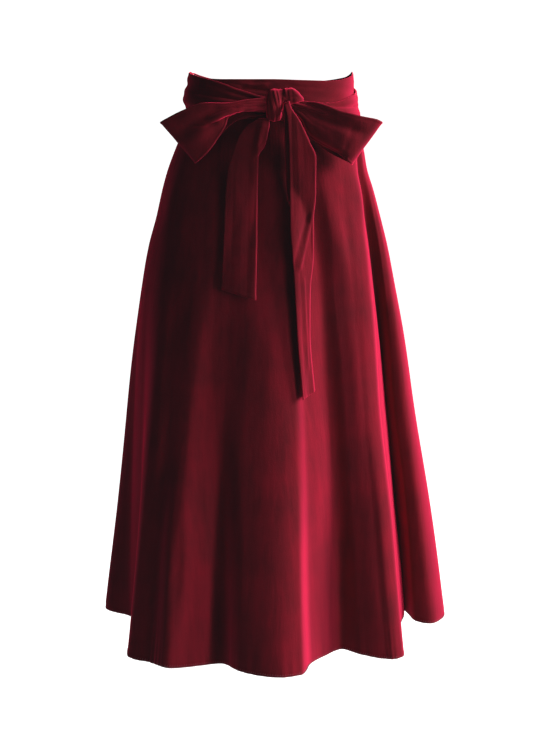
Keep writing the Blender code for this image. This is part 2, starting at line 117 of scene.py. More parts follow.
class Wrap(NamedTuple):
    """The sash's edges round the waist at one angle, and how far it stands out."""

    name: str
    angle: float
    top: float
    low: float
    stand: float


class Loop(NamedTuple):
    """A place along a bow loop: its two edges, its depth and how far its middle stands out."""

    name: str
    upper_x: float
    upper_z: float
    lower_x: float
    lower_z: float
    depth: float
    puff: float


class Lump(NamedTuple):
    """A section of the knot."""

    x: float
    top: float
    low: float
    front: float
    back: float


class Tail(NamedTuple):
    """A place down a tail: its edges, the reach of its turned layers and its depth."""

    name: str
    edge_x: float
    edge_z: float
    turn_x: float
    turn_z: float
    under: float
    last: float
    hang: float


class Crease(NamedTuple):
    """A soft ridge or trough between two places seen from the front, with width and height."""

    name: str
    x: float
    z: float
    to_x: float
    to_z: float
    width: float
    height: float


GIRTHS = (
    Girth(0.010, 0.1155, 0.1200, 0.0930, 0.0930),
    Girth(-0.016, 0.1165, 0.1220, 0.0935, 0.0935),
    Girth(-0.050, 0.1190, 0.1215, 0.0960, 0.0960),
    Girth(-0.085, 0.1310, 0.1300, 0.1045, 0.1080),
    Girth(-0.110, 0.1420, 0.1385, 0.1110, 0.1180),
    Girth(-0.142, 0.1545, 0.1450, 0.1190, 0.1290),
    Girth(-0.172, 0.1635, 0.1550, 0.1270, 0.1380),
    Girth(-0.210, 0.1730, 0.1655, 0.1370, 0.1480),
    Girth(-0.255, 0.1862, 0.1770, 0.1500, 0.1590),
    Girth(-0.308, 0.1970, 0.1875, 0.1630, 0.1710),
    Girth(-0.386, 0.2080, 0.2020, 0.1820, 0.1870),
    Girth(-0.495, 0.2222, 0.2189, 0.2060, 0.2080),
    Girth(-0.623, 0.2383, 0.2417, 0.2310, 0.2310),
    Girth(-0.753, 0.2536, 0.2632, 0.2530, 0.2510),
    Girth(-0.830, 0.2626, 0.2742, 0.2640, 0.2600),
)

FOLDS = (
    Fold("left_side_crest", -98, -94, 0.264, -0.190, 0.007),
    Fold("left_side_edge", -88, -84, 0.224, -0.190, 0.005),
    Fold("left_side_hollow", -80, -68, 0.214, -0.180, 0.001),
    Fold("left_front_corner", -68, -45, 0.292, -0.150),
    Fold("left_front_dip", -54, -38, 0.282, -0.180, 0.001, 1.1),
    Fold("left_front_crest", -41, -31, 0.287, -0.180, -0.003, 1.1),
    Fold("left_front_hollow", -24, -19, 0.240, -0.150, 0.004, 0.95),
    Fold("middle_left_flank", -12, -9, 0.264, -0.160, 0.000, 1.0),
    Fold("middle_crest", 2, 3, 0.281, -0.200, 0.000, 1.0),
    Fold("middle_right_flank", 10, 9, 0.274, -0.200, 0.000, 0.9),
    Fold("middle_step", 17, 14.5, 0.234, -0.160, 0.000, 0.8),
    Fold("right_front_hollow", 26, 30, 0.202, -0.110, 0.000, 0.62),
    Fold("right_front_step", 35, 34, 0.236, -0.110, 0.000, 0.62),
    Fold("right_front_flank", 46, 38, 0.264, -0.120, 0.001, 0.7),
    Fold("right_front_corner", 60, 43, 0.280, -0.120, 0.000, 0.75),
    Fold("right_side_hollow", 70, 60, 0.214, -0.085, 0.000, 0.42),
    Fold("right_side_valley", 80, 86, 0.210, -0.085, 0.000, 0.24),
    Fold("right_side_lip", 88, 76, 0.232, -0.085, 0.002, 0.55),
    Fold("right_side_turn", 92, 76, 0.257, -0.085, 0.003, 0.60),
    Fold("right_side_crest", 98, 87, 0.274, -0.170, 0.005),
    Fold("right_rear_hollow", 112, 106, 0.236, -0.200, 0.002),
    Fold("right_rear_crest", 124, 119, 0.276, -0.210),
    Fold("right_back_hollow", 137, 134, 0.232, -0.170),
    Fold("right_back_crest", 150, 148, 0.281, -0.180),
    Fold("back_seam_hollow", 166, 164, 0.238, -0.150),
    Fold("back_crest", 179, 180, 0.273, -0.190),
    Fold("left_seam_hollow", 193, 195, 0.240, -0.160),
    Fold("left_back_crest", 208, 211, 0.284, -0.180),
    Fold("left_back_hollow", 222, 225, 0.233, -0.170),
    Fold("left_rear_crest", 236, 240, 0.274, -0.210),
    Fold("left_rear_hollow", 249, 254, 0.238, -0.200, 0.002),
)

DRAGS = (
    Drag("right_soft_fold", 30, -0.100, 42, -0.350, 6.0, 0.0060),
    Drag("right_hip_fold", 52, -0.090, 60, -0.240, 6.0, 0.0030),
    Drag("left_soft_fold", -32, -0.120, -30, -0.300, 6.0, 0.0030),
    Drag("left_hip_fold", -58, -0.100, -64, -0.260, 7.0, 0.0035),
    Drag("left_middle_trough", -29, -0.240, -24, -0.680, 4.0, -0.0050),
    Drag("left_low_ridge", -37, -0.400, -25, -1.200, 4.5, 0.0060),
    Drag("left_low_trough", -24, -0.400, -10, -1.200, 5.0, -0.0110),
    Drag("left_split_trough", -31.0, -0.600, -29.5, -0.800, 1.6, -0.0045),
    Drag("middle_soft_fold", 9, -0.040, 9, -0.330, 6.0, 0.0050),
    Drag("middle_hollow", -10, -0.040, -9, -0.330, 6.0, -0.0045),
    Drag("right_back_soft_fold", 148, -0.100, 142, -0.300, 7.0, 0.0040),
    Drag("left_back_soft_fold", 214, -0.100, 220, -0.310, 7.0, 0.0040),
    Drag("back_soft_fold", 176, -0.110, 174, -0.280, 6.0, 0.0030),
)

RIMS = (
    Rim(-180, -0.0150),
    Rim(-135, -0.0120),
    Rim(-92, -0.0010),
    Rim(-60, -0.0070),
    Rim(-38, -0.0095),
    Rim(0, -0.0095),
    Rim(30, -0.0110),
    Rim(46, -0.0118),
    Rim(70, -0.0055),
    Rim(88, 0.0008),
    Rim(112, -0.0080),
    Rim(140, -0.0135),
)

WRAPS = (
    Wrap("right_of_knot", 3, -0.0360, -0.0640, 0.0010),
    Wrap("right_front", 24, -0.0388, -0.0720, 0.0040),
    Wrap("right_quarter", 44, -0.0425, -0.0800, 0.0050),
    Wrap("right_turn", 64, -0.0335, -0.0800, 0.0060),
    Wrap("right_side", 86, -0.0262, -0.0770, 0.0065),
    Wrap("right_rear", 125, -0.0180, -0.0710, 0.0055),
    Wrap("back", 180, -0.0170, -0.0680, 0.0050),
    Wrap("left_rear", 235, -0.0090, -0.0640, 0.0060),
    Wrap("left_side", 270, 0.0010, -0.0600, 0.0100),
    Wrap("left_turn", 296, -0.0035, -0.0610, 0.0070),
    Wrap("left_quarter", 318, -0.0120, -0.0630, 0.0050),
    Wrap("left_front", 336, -0.0240, -0.0630, 0.0030),
    Wrap("left_of_knot", 357, -0.0345, -0.0620, 0.0010),
)

LEFT_LOOP = (
    Loop("front_knot", -0.0069, -0.0345, -0.0069, -0.0530, -0.1280, 0.0010),
    Loop("front_neck", -0.0347, -0.0372, -0.0350, -0.0530, -0.1330, 0.0030),
    Loop("front_opening", -0.0610, -0.0415, -0.0550, -0.0600, -0.1345, 0.0045),
    Loop("front_body", -0.0900, -0.0410, -0.0690, -0.0815, -0.1330, 0.0070),
    Loop("front_outer", -0.1217, -0.0511, -0.0866, -0.1061, -0.1310, 0.0060),
    Loop("front_rim", -0.1480, -0.0640, -0.1020, -0.1210, -0.1260, 0.0030),
    Loop("turned_end", -0.1555, -0.0681, -0.1065, -0.1250, -0.1180, 0.0000),
    Loop("back_rim", -0.1480, -0.0650, -0.1020, -0.1210, -0.1100, -0.0020),
    Loop("back_body", -0.1000, -0.0480, -0.0760, -0.0900, -0.1070, -0.0030),
    Loop("back_neck", -0.0500, -0.0410, -0.0440, -0.0640, -0.1130, -0.0010),
    Loop("back_knot", -0.0069, -0.0380, -0.0069, -0.0570, -0.1120, 0.0000),
)
RIGHT_LOOP = (
    Loop("front_knot", 0.0270, -0.0379, 0.0270, -0.0515, -0.1210, 0.0010),
    Loop("front_neck", 0.0453, -0.0390, 0.0411, -0.0649, -0.1235, 0.0020),
    Loop("front_opening", 0.0690, -0.0420, 0.0537, -0.0868, -0.1275, 0.0035),
    Loop("front_body", 0.0942, -0.0510, 0.0733, -0.0991, -0.1330, 0.0040),
    Loop("front_outer", 0.1228, -0.0588, 0.0959, -0.1110, -0.1370, 0.0040),
    Loop("front_rim", 0.1490, -0.0642, 0.1100, -0.1230, -0.1335, 0.0020),
    Loop("turned_end", 0.1568, -0.0682, 0.1145, -0.1270, -0.1230, 0.0000),
    Loop("back_rim", 0.1480, -0.0665, 0.1100, -0.1240, -0.1070, -0.0020),
    Loop("back_body", 0.1000, -0.0540, 0.0760, -0.1060, -0.1070, -0.0030),
    Loop("back_neck", 0.0550, -0.0430, 0.0470, -0.0760, -0.1110, -0.0010),
    Loop("back_knot", 0.0270, -0.0382, 0.0270, -0.0560, -0.1110, 0.0000),
)

KNOT = (
    Lump(-0.0066, -0.0400, -0.0500, -0.1220, -0.1100),
    Lump(-0.0060, -0.0310, -0.0600, -0.1280, -0.1030),
    Lump(-0.0030, -0.0245, -0.0655, -0.1325, -0.1012),
    Lump(0.0050, -0.0218, -0.0670, -0.1350, -0.1011),
    Lump(0.0120, -0.0225, -0.0665, -0.1335, -0.1011),
    Lump(0.0165, -0.0222, -0.0595, -0.1300, -0.1010),
    Lump(0.0200, -0.0212, -0.0440, -0.1300, -0.1010),
    Lump(0.0270, -0.0207, -0.0440, -0.1310, -0.1015),
    Lump(0.0350, -0.0230, -0.0425, -0.1305, -0.1020),
    Lump(0.0420, -0.0297, -0.0405, -0.1265, -0.1040),
    Lump(0.0465, -0.0350, -0.0385, -0.1210, -0.1080),
)

LEFT_TAIL = (
    Tail("knot", -0.0165, -0.0636, -0.0024, -0.0636, 0.6, 0.0, -0.1240),
    Tail("leaving", -0.0284, -0.0704, -0.0020, -0.0704, 0.6, 0.0, -0.1270),
    Tail("narrow", -0.0382, -0.0786, -0.0034, -0.0786, 0.6, 0.0, -0.1300),
    Tail("flap", -0.0466, -0.0924, -0.0066, -0.0924, 0.6, 0.0, -0.1320),
    Tail("flap_end", -0.0504, -0.1020, -0.0106, -0.1020, 0.55, 0.0, -0.1320),
    Tail("turned", -0.0530, -0.1103, -0.0170, -0.1103, 0.5, 0.0, -0.1310),
    Tail("opened", -0.0564, -0.1200, -0.0184, -0.1200, 0.5, 0.0, -0.1305),
    Tail("upper", -0.0609, -0.1366, -0.0187, -0.1366, 0.5, 0.0, -0.1300),
    Tail("middle", -0.0645, -0.1759, -0.0194, -0.1759, 0.5, 0.0, -0.1300),
    Tail("straight", -0.0666, -0.2296, -0.0198, -0.2310, 0.5, 0.0, -0.1300),
    Tail("lower", -0.0682, -0.2638, -0.0205, -0.2695, 0.5, 0.0, -0.1300),
    Tail("end", -0.0696, -0.2996, -0.0211, -0.3126, 0.5, 0.0, -0.1300),
)
RIGHT_TAIL = (
    Tail("knot", 0.0200, -0.0414, 0.0255, -0.0388, 0.6, 0.1, -0.130),
    Tail("over_loop", 0.0212, -0.0480, 0.0285, -0.0480, 1.4, 0.1, -0.1375),
    Tail("narrow", 0.0238, -0.0619, 0.0382, -0.0619, 1.3, 0.1, -0.142),
    Tail("opening", 0.0256, -0.0963, 0.0550, -0.0963, 1.2, 0.1, -0.1430),
    Tail("upper", 0.0263, -0.1198, 0.0635, -0.1198, 1.15, 0.1, -0.1400),
    Tail("widest", 0.0268, -0.1650, 0.0635, -0.1650, 1.1, 0.2, -0.1385),
    Tail("turning", 0.0275, -0.2100, 0.0600, -0.2060, 0.85, 0.4, -0.1385),
    Tail("narrowing", 0.0312, -0.2569, 0.0600, -0.2550, 0.85, 0.6, -0.147),
    Tail("middle", 0.0345, -0.3050, 0.0560, -0.3020, 0.85, 0.8, -0.147),
    Tail("lower", 0.0382, -0.3671, 0.0550, -0.3640, 0.85, 0.8, -0.147),
    Tail("end", 0.0453, -0.4499, 0.0615, -0.4420, 0.85, 0.8, -0.147),
)

KNOT_CREASES = (
    Crease("band_wrinkle_a", -0.0014, -0.0281, 0.0026, -0.0472, 0.0012, 0.0004),
    Crease("band_wrinkle_b", 0.0017, -0.0260, 0.0063, -0.0429, 0.0010, -0.0004),
    Crease("band_wrinkle_c", 0.0047, -0.0256, 0.0091, -0.0439, 0.0010, 0.0004),
    Crease("band_wrinkle_d", 0.0078, -0.0256, 0.0119, -0.0415, 0.0010, -0.0004),
    Crease("band_wrinkle_e", 0.0102, -0.0266, 0.0135, -0.0492, 0.0012, 0.0005),
    Crease("band_low_a", -0.0024, -0.0399, -0.0004, -0.0628, 0.0017, -0.0006),
    Crease("band_low_b", 0.0035, -0.0466, 0.0046, -0.0647, 0.0017, 0.0006),
    Crease("band_low_c", 0.0081, -0.0481, 0.0077, -0.0647, 0.0015, -0.0006),
    Crease("band_side", 0.0152, -0.0385, 0.0116, -0.0633, 0.0022, -0.0004),
    Crease("top_fold_a", 0.0139, -0.0207, 0.0166, -0.0362, 0.0014, 0.0005),
    Crease("top_hollow_a", 0.0170, -0.0207, 0.0188, -0.0351, 0.0013, -0.0002),
    Crease("top_fold_b", 0.0205, -0.0207, 0.0216, -0.0323, 0.0013, 0.0005),
    Crease("top_hollow_b", 0.0236, -0.0207, 0.0250, -0.0344, 0.0013, -0.0002),
    Crease("cap_ridge", 0.0318, -0.0241, 0.0444, -0.0358, 0.0025, 0.0009),
    Crease("cap_hollow", 0.0262, -0.0337, 0.0353, -0.0323, 0.0025, -0.0009),
    Crease("pinch", 0.0208, -0.0377, 0.0267, -0.0448, 0.0020, 0.0014),
    Crease("eye", 0.0197, -0.0413, 0.0180, -0.0537, 0.0021, -0.0022),
)
LEFT_LOOP_CREASES = (
    Crease("upper_ridge", -0.0094, -0.0389, -0.0649, -0.0461, 0.0034, 0.0013),
    Crease("neck_trough", -0.0094, -0.0443, -0.0457, -0.0489, 0.0021, -0.0011),
    Crease("neck_ridge", -0.0094, -0.0476, -0.0430, -0.0518, 0.0020, 0.0010),
    Crease("long_crease_a", -0.0122, -0.0509, -0.0438, -0.0558, 0.0024, -0.0017),
    Crease("long_crease_b", -0.0416, -0.0553, -0.0650, -0.0642, 0.0034, -0.0026),
    Crease("long_crease_c", -0.0626, -0.0631, -0.0837, -0.0701, 0.0039, -0.0028),
    Crease("long_crease_d", -0.0809, -0.0697, -0.1131, -0.0725, 0.0039, -0.0022),
    Crease("long_crease_e", -0.1103, -0.0719, -0.1412, -0.0779, 0.0045, -0.0012),
    Crease("over_crease", -0.0430, -0.0502, -0.0794, -0.0620, 0.0036, 0.0014),
    Crease("corner_pull", -0.0905, -0.0537, -0.1326, -0.0599, 0.0063, 0.0010),
    Crease("edge_pull", -0.0556, -0.0661, -0.0924, -0.1091, 0.0042, 0.0009),
    Crease("low_dent", -0.0796, -0.0813, -0.1050, -0.1036, 0.0070, -0.0012),
)
RIGHT_LOOP_CREASES = (
    Crease("upper_ridge", 0.0499, -0.0380, 0.0899, -0.0501, 0.0028, 0.0013),
    Crease("fold_a", 0.0345, -0.0394, 0.0539, -0.0421, 0.0027, -0.0022),
    Crease("fold_b", 0.0539, -0.0421, 0.0815, -0.0529, 0.0031, -0.0024),
    Crease("fold_lip", 0.0386, -0.0438, 0.0746, -0.0556, 0.0021, 0.0015),
    Crease("under_lip", 0.0359, -0.0476, 0.0634, -0.0598, 0.0027, -0.0012),
    Crease("neck_ridge", 0.0340, -0.0482, 0.0494, -0.0633, 0.0024, 0.0009),
    Crease("neck_trough", 0.0320, -0.0516, 0.0452, -0.0682, 0.0021, -0.0009),
    Crease("long_dip", 0.0662, -0.0592, 0.1139, -0.0744, 0.0077, -0.0014),
    Crease("corner_pull", 0.0970, -0.0564, 0.1363, -0.0675, 0.0056, 0.0009),
    Crease("low_pull", 0.0578, -0.0703, 0.1002, -0.1091, 0.0063, 0.0010),
    Crease("rim_dent", 0.1140, -0.0813, 0.1058, -0.1036, 0.0056, -0.0009),
)
LEFT_TAIL_CREASES = (
    Crease("fold_line", -0.0094, -0.0618, -0.0178, -0.1005, 0.0050, 0.0046),
    Crease("flap_end", -0.0108, -0.0999, -0.0186, -0.1096, 0.0027, 0.0018),
    Crease("pleat_a", -0.0305, -0.1061, -0.0333, -0.3071, 0.0024, -0.0003),
    Crease("pleat_b", -0.0388, -0.0922, -0.0433, -0.3028, 0.0022, 0.0002),
    Crease("pleat_c", -0.0516, -0.1270, -0.0568, -0.2985, 0.0025, -0.0003),
    Crease("pleat_d", -0.0246, -0.1172, -0.0260, -0.3100, 0.0018, 0.0002),
)
RIGHT_TAIL_CREASES = (
    Crease("left_pleat", 0.0289, -0.0533, 0.0327, -0.1962, 0.0021, -0.0004),
    Crease("inner_pleat", 0.0366, -0.0711, 0.0412, -0.1891, 0.0022, 0.0003),
    Crease("outer_pleat", 0.0450, -0.0917, 0.0510, -0.1920, 0.0025, -0.0002),
    Crease("facet_edge", 0.0574, -0.1990, 0.0407, -0.2684, 0.0025, 0.0016),
    Crease("facet_hollow", 0.0497, -0.2060, 0.0336, -0.2627, 0.0034, -0.0014),
    Crease("lower_pleat", 0.0407, -0.2741, 0.0476, -0.4127, 0.0022, -0.0006),
    Crease("lower_ridge", 0.0464, -0.2883, 0.0519, -0.4069, 0.0018, 0.0008),
)
BAND_CREASES = (
    Crease("lit_bulge", -0.0295, -0.0174, -0.0096, -0.0160, 0.0027, 0.0013),
    Crease("under_bulge", -0.0394, -0.0219, -0.0068, -0.0249, 0.0024, -0.0015),
    Crease("above_bulge", -0.0351, -0.0124, -0.0011, -0.0116, 0.0021, -0.0007),
    Crease("flat_fold", -0.0493, -0.0155, -0.0266, -0.0203, 0.0022, -0.0008),
    Crease("right_fold", 0.0301, -0.0189, 0.0727, -0.0217, 0.0031, -0.0006),
    Crease("right_bulge", 0.0414, -0.0148, 0.0910, -0.0127, 0.0034, 0.0005),
)
WRAP_CREASES = (
    Crease("left_edge_fold", -0.0633, -0.0204, -0.0209, -0.0338, 0.0022, 0.0013),
    Crease("left_upper_trough", -0.0803, -0.0189, -0.0266, -0.0349, 0.0034, -0.0019),
    Crease("left_deep_fold", -0.1059, -0.0293, -0.0436, -0.0385, 0.0036, -0.0024),
    Crease("left_low_ridge", -0.1173, -0.0363, -0.0606, -0.0412, 0.0031, 0.0015),
    Crease("left_side_dip", -0.1171, -0.0154, -0.0804, -0.0238, 0.0056, -0.0012),
    Crease("left_high_ridge", -0.1113, -0.0071, -0.0548, -0.0196, 0.0036, 0.0012),
    Crease("right_edge_fold", 0.1136, -0.0229, 0.0783, -0.0397, 0.0021, 0.0013),
    Crease("right_trough", 0.1151, -0.0300, 0.0840, -0.0433, 0.0028, -0.0016),
    Crease("right_dark_crease", 0.0925, -0.0466, 0.1195, -0.0475, 0.0024, -0.0024),
    Crease("right_bulge", 0.0897, -0.0413, 0.1180, -0.0399, 0.0034, 0.0016),
    Crease("right_low_ridge", 0.0869, -0.0517, 0.1210, -0.0538, 0.0031, 0.0012),
)


class Side(Enum):
    """Which side of the front a piece of the bow is on, as it is seen."""

    LEFT = "left"
    RIGHT = "right"


class Held(Enum):
    """How a piece of cloth is held."""

    HUNG = "hung"
    STRETCHED = "stretched"
    FOLDED = "folded"


def smooth_curve(
    knots: Sequence[float], values: Sequence[float], at: np.ndarray, period: Optional[float] = None
) -> np.ndarray:
    """A curve through the values that never swings past them.

    Args:
        knots: Where the values are.
        values: The values.
        at: Where the curve is wanted.
        period: The length after which the curve closes on itself, if it does.

    Returns:
        The curve's values.
    """
    knots = np.asarray(knots, float)
    values = np.asarray(values, float)
    at = np.asarray(at, float)
    if period is not None:
        start = knots[0]
        knots = np.concatenate([knots - period, knots, knots + period])
        values = np.concatenate([values, values, values])
        at = (at - start) % period + start
    steps = np.diff(knots)
    slopes = np.diff(values) / steps
    tangents = np.zeros_like(values)
    same_way = slopes[:-1] * slopes[1:] > 0
    total = np.where(same_way, slopes[:-1] + slopes[1:], 1.0)
    tangents[1:-1] = np.where(same_way, 2 * slopes[:-1] * slopes[1:] / total, 0.0)
    tangents[0] = slopes[0]
    tangents[-1] = slopes[-1]
    cell = np.clip(np.searchsorted(knots, at, side="right") - 1, 0, len(steps) - 1)
    width = steps[cell]
    t = np.clip((at - knots[cell]) / width, 0.0, 1.0)
    first = (1 + 2 * t) * (1 - t) ** 2 * values[cell]
    second = t * t * (3 - 2 * t) * values[cell + 1]
    leaving = t * (1 - t) ** 2 * width * tangents[cell]
    arriving = t * t * (t - 1) * width * tangents[cell + 1]
    return first + second + leaving + arriving


def column(rows: Sequence[NamedTuple], name: str) -> list[float]:
    """One column of a table."""
    return [getattr(row, name) for row in rows]


def table_curve(
    rows: Sequence[NamedTuple], places: str, name: str, at: np.ndarray, period: Optional[float] = None
) -> np.ndarray:
    """A column of a table as a smooth curve over another of its columns."""
    return smooth_curve(column(rows, places), column(rows, name), at, period)


def even_lines(rows: Sequence[NamedTuple], at: np.ndarray) -> dict[str, np.ndarray]:
    """Each column of numbers as a smooth curve whose rows lie one apart.

    Args:
        rows: The table.
        at: Where the curves are wanted.

    Returns:
        The curves by their columns' names.
    """
    names = [name for name in rows[0]._fields if name != "name"]
    return {name: smooth_curve(range(len(rows)), column(rows, name), at) for name in names}


def shaded(colour: Colour, share: float) -> Colour:
    """A colour brought down to this share."""
    return tuple(share * part for part in colour[:3]) + colour[3:]


def unit(vectors: np.ndarray) -> np.ndarray:
    """The vectors at length one."""
    return vectors / np.maximum(np.linalg.norm(vectors, axis=-1, keepdims=True), 1e-12)


def bell(offset: np.ndarray, width: float) -> np.ndarray:
    """A soft bump of height one and this half-width."""
    return np.exp(-((offset / width) ** 2))


def crease_relief(rows: Sequence[Crease], x: np.ndarray, z: np.ndarray) -> np.ndarray:
    """How far the creases of a table stand out.

    Args:
        rows: The table.
        x: Where across the front.
        z: At which height.

    Returns:
        The heights of the ridges, and below zero those of the troughs.
    """
    total = np.zeros(np.broadcast(x, z).shape)
    for row in rows:
        run_x, run_z = row.to_x - row.x, row.to_z - row.z
        length = math.hypot(run_x, run_z)
        along = ((x - row.x) * run_x + (z - row.z) * run_z) / length
        off = ((x - row.x) * run_z - (z - row.z) * run_x) / length
        past = np.maximum(np.maximum(-along, along - length), 0.0)
        taper = bell(past, 2.2 * row.width)
        total = total + row.height * bell(off, row.width) * taper
    return total


class Ripples:
    """Soft uneven waves over two coordinates, the same on each run."""

    def __init__(self, seed: int, count: int, first: tuple[float, float], second: tuple[float, float]):
        """Picks the waves.

        Args:
            seed: The seed of the draw.
            count: How many waves are added up.
            first: The lowest and highest frequency along the first coordinate.
            second: The same along the second coordinate.
        """
        draw = np.random.default_rng(seed)
        self.along = np.round(draw.uniform(*first, count))
        self.across = draw.uniform(*second, count) * draw.choice([-1.0, 1.0], count)
        self.phase = draw.uniform(0.0, 2 * math.pi, count)
        self.share = draw.uniform(0.5, 1.0, count)

    def at(self, u: np.ndarray, v: np.ndarray) -> np.ndarray:
        """The waves' sum, from about -1 to 1.

        Args:
            u: The first coordinate.
            v: The second coordinate.

        Returns:
            The sum at each place.
        """
        total = np.zeros(np.broadcast(u, v).shape)
        for a, b, p, s in zip(self.along, self.across, self.phase, self.share):
            total = total + s * np.sin(a * u + b * v + p)
        return total / math.sqrt(len(self.along))


def run_along(points: np.ndarray, axis: int) -> np.ndarray:
    """How far along the cloth each point of a grid lies.

    Args:
        points: The grid.
        axis: The grid's axis that is followed.

    Returns:
        The lengths, from zero at the first point.
    """
    run = np.cumsum(np.linalg.norm(np.diff(points, axis=axis), axis=-1), axis=axis)
    return np.concatenate([np.zeros_like(np.take(run, [0], axis=axis)), run], axis=axis)


def round_waist(angle: np.ndarray, radius: np.ndarray, z: np.ndarray) -> np.ndarray:
    """Points at these angles round the waist, radii and heights."""
    turned = np.radians(angle)
    return np.stack([radius * np.sin(turned), -radius * np.cos(turned), z + 0 * radius], -1)


def two_faces(
    base: np.ndarray, outward: np.ndarray, relief: np.ndarray, wall: float
) -> tuple[np.ndarray, np.ndarray]:
    """The two faces of a cloth wall.

    Args:
        base: The plain outer face.
        outward: Its outward direction.
        relief: How far the cloth stands out from it.
        wall: The cloth's thickness.

    Returns:
        The pile face and the ground face.
    """
    ground = np.minimum(relief, 0.0) - wall
    return base + outward * relief[..., None], base + outward * ground[..., None]


def declare(made: Piece, node: Optional[str] = None) -> Piece:
    """Ties a piece to its body, hides the solid that it takes the place of, and reports it.

    Args:
        made: The piece.
        node: The solid that it takes the place of, if any.

    Returns:
        The piece.
    """
    if node is not None:
        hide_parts(node)
    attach(made, BODY)
    LOG.info("%s: %d faces", made.name, len(made.data.polygons))
    return made


class ClothMesh:
    """Builds the mesh objects of the skirt's pieces."""

    @staticmethod
    def rings(index: np.ndarray) -> Faces:
        """The faces of a grid whose first axis closes on itself.

        Args:
            index: The grid's point numbers.

        Returns:
            The faces.
        """
        after = np.roll(index, -1, axis=0)
        quads = np.stack([index[:, :-1], after[:, :-1], after[:, 1:], index[:, 1:]], -1)
        return [tuple(quad) for quad in quads.reshape(-1, 4).tolist()]

    @classmethod
    def tube_faces(cls, rows: int, columns: int) -> Faces:
        """The faces of a grid whose rows close on themselves, with both ends closed.

        Args:
            rows: Rows, from one face of the cloth round its edge to the other face.
            columns: Columns along the cloth.

        Returns:
            The faces.
        """
        faces = cls.rings(np.arange(rows * columns).reshape(rows, columns))
        for row in range(rows // 2 - 1):
            cap = [r * columns for r in (row, rows - 1 - row, rows - 2 - row, row + 1)]
            faces += [tuple(cap), tuple(point + columns - 1 for point in cap[::-1])]
        return faces

    @staticmethod
    def make(
        name: str,
        points: np.ndarray,
        faces: Faces,
        finishes: Sequence[Material],
        ground: Optional[np.ndarray] = None,
    ) -> Piece:
        """A smooth mesh object.

        Args:
            name: The object's name.
            points: Its points.
            faces: Its faces.
            finishes: Its materials: the pile face, then the ground face.
            ground: Which faces show the ground, if any do.

        Returns:
            The object.
        """
        mesh = bpy.data.meshes.new(name)
        mesh.from_pydata(points.reshape(-1, 3).tolist(), [], faces)
        for finish in finishes:
            mesh.materials.append(finish)
        mesh.polygons.foreach_set("use_smooth", np.ones(len(faces), bool))
        if ground is not None:
            mesh.polygons.foreach_set("material_index", ground.astype(np.int32))
        mesh.update()
        made = bpy.data.objects.new(name, mesh)
        bpy.context.scene.collection.objects.link(made)
        return made

    @classmethod
    def threads(
        cls, name: str, paths: np.ndarray, side: np.ndarray, radius: float, finish: Material
    ) -> Piece:
        """Short threads, each a closed tube along its own path.

        Args:
            name: The object's name.
            paths: For each thread, the points that it follows.
            side: For each thread, the direction that it lies across.
            radius: Half the thread's thickness.
            finish: Its material.

        Returns:
            The object.
        """
        along = unit(np.gradient(paths, axis=1))
        across = np.broadcast_to(side[:, None, :], along.shape)
        upright = unit(np.cross(along, across))
        points = paths[:, :, None, :] + radius * np.stack([across, upright, -across, -upright], 2)
        index = np.arange(points[..., 0].size).reshape(points.shape[:3])
        ends = np.concatenate([index[:, 0, ::-1], index[:, -1]]).tolist()
        faces = cls.rings(index.transpose(2, 1, 0)) + [tuple(end) for end in ends]
        return cls.make(name, points, faces, (finish,))

    @classmethod
    def rolled_edge(
        cls,
        name: str,
        outer: np.ndarray,
        inner: np.ndarray,
        low_edge: np.ndarray,
        finishes: Sequence[Material],
        high_edge: Optional[np.ndarray] = None,
    ) -> Piece:
        """A closed cloth shell whose edges are rounded.

        Args:
            name: The object's name.
            outer: The pile face, rows from the top down.
            inner: The ground face, the same rows.
            low_edge: Rows round the low edge, from the pile face to the ground face.
            finishes: The materials of the pile and the ground.
            high_edge: Rows round the top edge, from the ground face to the pile face.

        Returns:
            The object.
        """
        top = outer[:0] if high_edge is None else high_edge
        grid = np.concatenate([outer, low_edge, inner[::-1], top])
        rows, columns = grid.shape[:2]
        faces = cls.tube_faces(rows, columns)
        shows = np.zeros(len(faces), bool)
        first_inner = (len(outer) + len(low_edge)) * (columns - 1)
        shows[first_inner : first_inner + (len(inner) - 1) * (columns - 1)] = True
        return cls.make(name, grid, faces, finishes, shows)

    @staticmethod
    def half_round(start: np.ndarray, end: np.ndarray, bulge: np.ndarray, steps: int) -> np.ndarray:
        """Rows of a half-round edge between two rows of points.

        Args:
            start: The row the edge leaves.
            end: The row the edge comes to.
            bulge: How far and which way the edge's middle stands out.
            steps: How many rows lie between.

        Returns:
            The rows.
        """
        turn = np.linspace(0.0, math.pi, steps + 2)[1:-1, None, None]
        return (start + end) / 2 + (start - end) / 2 * np.cos(turn) + bulge * np.sin(turn)


